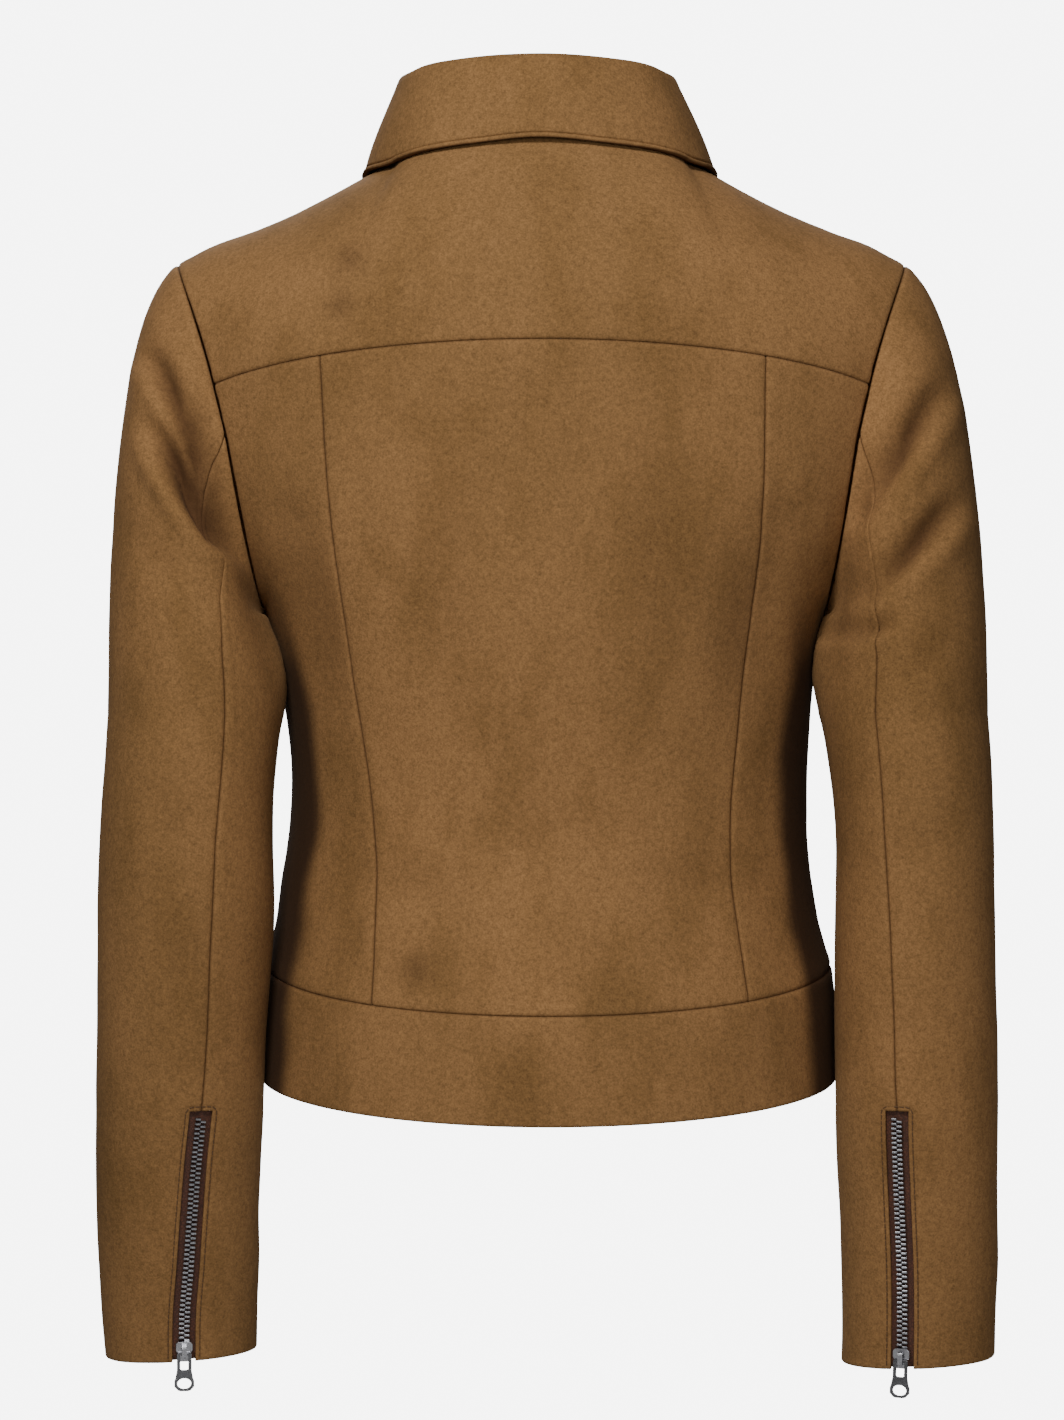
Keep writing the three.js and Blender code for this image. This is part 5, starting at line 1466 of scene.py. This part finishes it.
@dataclass(frozen=True)
class SuedeFinish:
    """Brushed suede with a soft nap.

    Attributes:
        base: Usual colour.
        warm: Lighter, warmer patches.
        olive: Darker patches.
        seam: Colour of the painted shade down in a seam.
        shade: Colour of the nap in folds.
        side_shade: Colour of the painted shade on the body's sides under the arms.
    """

    base: Colour = linear(134, 99, 60)
    warm: Colour = linear(152, 112, 70)
    olive: Colour = linear(112, 82, 46)
    seam: Colour = linear(66, 40, 20)
    shade: Colour = linear(64, 39, 21)
    side_shade: Colour = linear(46, 27, 15)

    def material(self) -> bpy.types.Material:
        """Make the material once, and return it."""
        if "suede_nap" in bpy.data.materials:
            return bpy.data.materials["suede_nap"]
        material, kit, shader = new_material("suede_nap")
        grain = kit.tree.nodes.new("ShaderNodeGroup")
        grain.node_tree = grain_group()
        grain.inputs["Fine Scale"].default_value = 980.0
        grain.inputs["Patch Scale"].default_value = 22.0
        fine, patch, cloud = (grain.outputs[k] for k in ("Fine", "Patch", "Cloud"))
        colour = kit.mix(kit.ranged(cloud, 0.42, 0.66, 0.0, 0.8), self.base, self.warm)
        colour = kit.mix(kit.ranged(patch, 0.48, 0.72, 0.0, 0.65), colour, self.olive)
        colour = kit.mix(kit.ranged(patch, 0.44, 0.26, 0.0, 0.45), colour, self.warm)
        shade = kit.ranged(fine, 0.3, 0.7, 0.58, 1.36)
        tone = kit.add("CombineColor", i0=shade, i1=shade, i2=shade).outputs[0]
        colour = kit.mix(1.0, colour, tone, "MULTIPLY")
        # Painted shade: darker down in the folds, by their depth.
        fold_shade = kit.add("Attribute", attribute_name="fold_shade").outputs["Fac"]
        colour = kit.mix(kit.math("MULTIPLY", fold_shade, 0.85), colour, self.shade)
        # Dark smudges on the back, and painted shade on the body's sides under the arms.
        smudges_and_side_shade = kit.add("Attribute", attribute_name="smudges_and_side_shade").outputs["Fac"]
        colour = kit.mix(kit.math("MULTIPLY", smudges_and_side_shade, 0.92), colour, self.side_shade)
        # Painted shade down in the seams.
        seam = kit.add("Attribute", attribute_name="seam").outputs["Fac"]
        colour = kit.mix(kit.math("MULTIPLY", seam, 0.62), colour, self.seam)
        kit.tree.links.new(colour, shader.inputs["Base Color"])
        kit.tree.links.new(kit.ranged(patch, 0.3, 0.7, 0.9, 1.0), shader.inputs["Roughness"])
        bump = kit.add("Bump", Strength=0.35, Distance=0.0006, Height=fine)
        kit.tree.links.new(bump.outputs[0], shader.inputs["Normal"])
        shader.inputs["Specular IOR Level"].default_value = 0.2
        shader.inputs["Sheen Weight"].default_value = 0.03
        shader.inputs["Sheen Roughness"].default_value = 0.5
        shader.inputs["Sheen Tint"].default_value = linear(214, 178, 134)
        return material


@dataclass(frozen=True)
class TapeFinish:
    """Dark reddish-brown zip tape with a small grain."""

    base: Colour = linear(92, 52, 33)
    dark: Colour = linear(58, 31, 19)

    def material(self) -> bpy.types.Material:
        """Make the material once, and return it."""
        if "zip_tape_grain" in bpy.data.materials:
            return bpy.data.materials["zip_tape_grain"]
        material, kit, shader = new_material("zip_tape_grain")
        grain = kit.tree.nodes.new("ShaderNodeGroup")
        grain.node_tree = grain_group()
        grain.inputs["Fine Scale"].default_value = 700.0
        grain.inputs["Patch Scale"].default_value = 90.0
        place = kit.add("TexCoord").outputs["Object"]
        cells = kit.add("TexVoronoi", feature="DISTANCE_TO_EDGE", Vector=place, Scale=620.0).outputs[0]
        share = kit.ranged(cells, 0.0, 0.2, 1.0, 0.0)
        colour = kit.mix(share, self.base, self.dark)
        colour = kit.mix(kit.ranged(grain.outputs["Patch"], 0.4, 0.7, 0.0, 0.5), colour, self.dark)
        kit.tree.links.new(colour, shader.inputs["Base Color"])
        kit.tree.links.new(kit.ranged(grain.outputs["Fine"], 0.3, 0.7, 0.6, 0.85),
                           shader.inputs["Roughness"])
        bump = kit.add("Bump", Strength=0.5, Distance=0.0004, Height=cells)
        kit.tree.links.new(bump.outputs[0], shader.inputs["Normal"])
        return material


@dataclass(frozen=True)
class ThreadFinish:
    """Brown sewing thread."""

    base: Colour = linear(88, 60, 34)

    def material(self) -> bpy.types.Material:
        """Make the material once, and return it."""
        if "sewing_thread" in bpy.data.materials:
            return bpy.data.materials["sewing_thread"]
        material, kit, shader = new_material("sewing_thread")
        place = kit.add("TexCoord").outputs["Object"]
        twist = kit.noise(place, 2600.0, 1.0)
        tone = kit.ranged(twist, 0.3, 0.7, 0.75, 1.2)
        grey = kit.add("CombineColor", i0=tone, i1=tone, i2=tone).outputs[0]
        kit.tree.links.new(kit.mix(1.0, self.base, grey, "MULTIPLY"), shader.inputs["Base Color"])
        kit.tree.links.new(kit.ranged(twist, 0.3, 0.7, 0.6, 0.8), shader.inputs["Roughness"])
        return material


@dataclass(frozen=True)
class NickelFinish:
    """Bright nickel with fine wear.

    Attributes:
        wear: How uneven the polish is, 0 to 1.
    """

    wear: float = 0.4

    def material(self) -> bpy.types.Material:
        """Make the material once for each wear, and return it."""
        name = f"nickel_{round(self.wear * 10)}"
        if name in bpy.data.materials:
            return bpy.data.materials[name]
        material, kit, shader = new_material(name)
        place = kit.add("TexCoord").outputs["Object"]
        marks = kit.noise(place, 900.0, 3.0, 0.6)
        tone = kit.mix(kit.ranged(marks, 0.35, 0.7, 0.0, self.wear), linear(200, 200, 204),
                       linear(104, 102, 104))
        kit.tree.links.new(tone, shader.inputs["Base Color"])
        kit.tree.links.new(kit.ranged(marks, 0.3, 0.7, 0.2, 0.2 + 0.3 * self.wear),
                           shader.inputs["Roughness"])
        shader.inputs["Metallic"].default_value = 1.0
        return material


@dataclass
class Studio:
    """Pale floor, soft lights and the camera.

    Attributes:
        lens: Focal length in millimetres.
        camera: Place of the camera in metres.
        floor_drop: How far the floor lies under the jacket.
    """

    lens: float = 99.6
    camera: tuple[float, float, float] = (0.00532, 2.2, -0.3276)
    floor_drop: float = 0.75

    def build(self) -> None:
        """Set up the whole studio."""
        self.floor()
        self.world()
        self.light("key", (0.35, 1.3, 0.95), 0.45, 25.0)
        self.light("fill", (-0.3, 2.5, 0.1), 0.9, 15.5)
        self.light("front", (0.4, -2.4, 1.4), 1.6, 50.0)
        view = bpy.data.cameras.new("camera")
        view.sensor_width = 36.0
        view.sensor_fit = "AUTO"
        view.lens = self.lens
        holder = linked("camera", view)
        holder.location = self.camera
        holder.rotation_euler = (math.pi / 2, 0, math.pi)
        bpy.context.scene.camera = holder

    def floor(self) -> None:
        """Lay a large pale floor well under the jacket."""
        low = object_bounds()[0][2] - self.floor_drop
        half = 3.0
        mesh = bpy.data.meshes.new("floor")
        corners = [(-half, -half, low), (half, -half, low), (half, half, low), (-half, half, low)]
        mesh.from_pydata(corners, [], [(0, 1, 2, 3)])
        floor = linked("floor", mesh)
        material, kit, shader = new_material("pale_floor")
        place = kit.add("TexCoord").outputs["Object"]
        tone = kit.mix(kit.noise(place, 3.0), linear(240, 240, 240), linear(236, 236, 236))
        kit.tree.links.new(tone, shader.inputs["Base Color"])
        shader.inputs["Roughness"].default_value = 0.9
        shader.inputs["Emission Color"].default_value = linear(243, 243, 243)
        ray = kit.add("LightPath").outputs["Is Camera Ray"]
        kit.tree.links.new(kit.math("MULTIPLY", ray, 3.2), shader.inputs["Emission Strength"])
        mesh.materials.append(material)
        floor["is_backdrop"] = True

    def world(self) -> None:
        """Show a pale backdrop to the camera, and shine a weaker one on the jacket."""
        world = bpy.data.worlds.new("studio")
        bpy.context.scene.world = world
        world.use_nodes = True
        kit = NodeKit(world.node_tree)
        world.node_tree.nodes.clear()
        seen = kit.add("Background", Color=linear(243, 243, 243), Strength=7.5)
        shone = kit.add("Background", Color=linear(243, 243, 243), Strength=0.05)
        ray = kit.add("LightPath").outputs["Is Camera Ray"]
        both = kit.add("MixShader", i0=ray, i1=shone.outputs[0], i2=seen.outputs[0])
        kit.add("OutputWorld", Surface=both.outputs[0])

    def light(self, name: str, place: tuple[float, float, float], size: float, watts: float) -> None:
        """Hang one soft square light that faces the jacket's middle."""
        lamp = bpy.data.lights.new(name, "AREA")
        lamp.size = size
        lamp.energy = watts
        holder = linked(name, lamp)
        holder.location = place
        aim = Vector((0, 0, -0.33)) - Vector(place)
        holder.rotation_euler = aim.to_track_quat("-Z", "Y").to_euler()


def main() -> None:
    """Build every piece of the jacket and the studio round it."""
    logging.basicConfig(level=logging.INFO, format="%(message)s")
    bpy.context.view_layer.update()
    Studio().build()
    cloth = BodyCloth()
    cloth.back()
    for side in SIDES:
        cloth.front(side)
        SleeveCloth(side).sew()
    CollarCloth().sew()
    for side in SIDES:
        CuffZip(side=side).build()
    FrontZip().build()


if __name__ == "__main__":
    main()
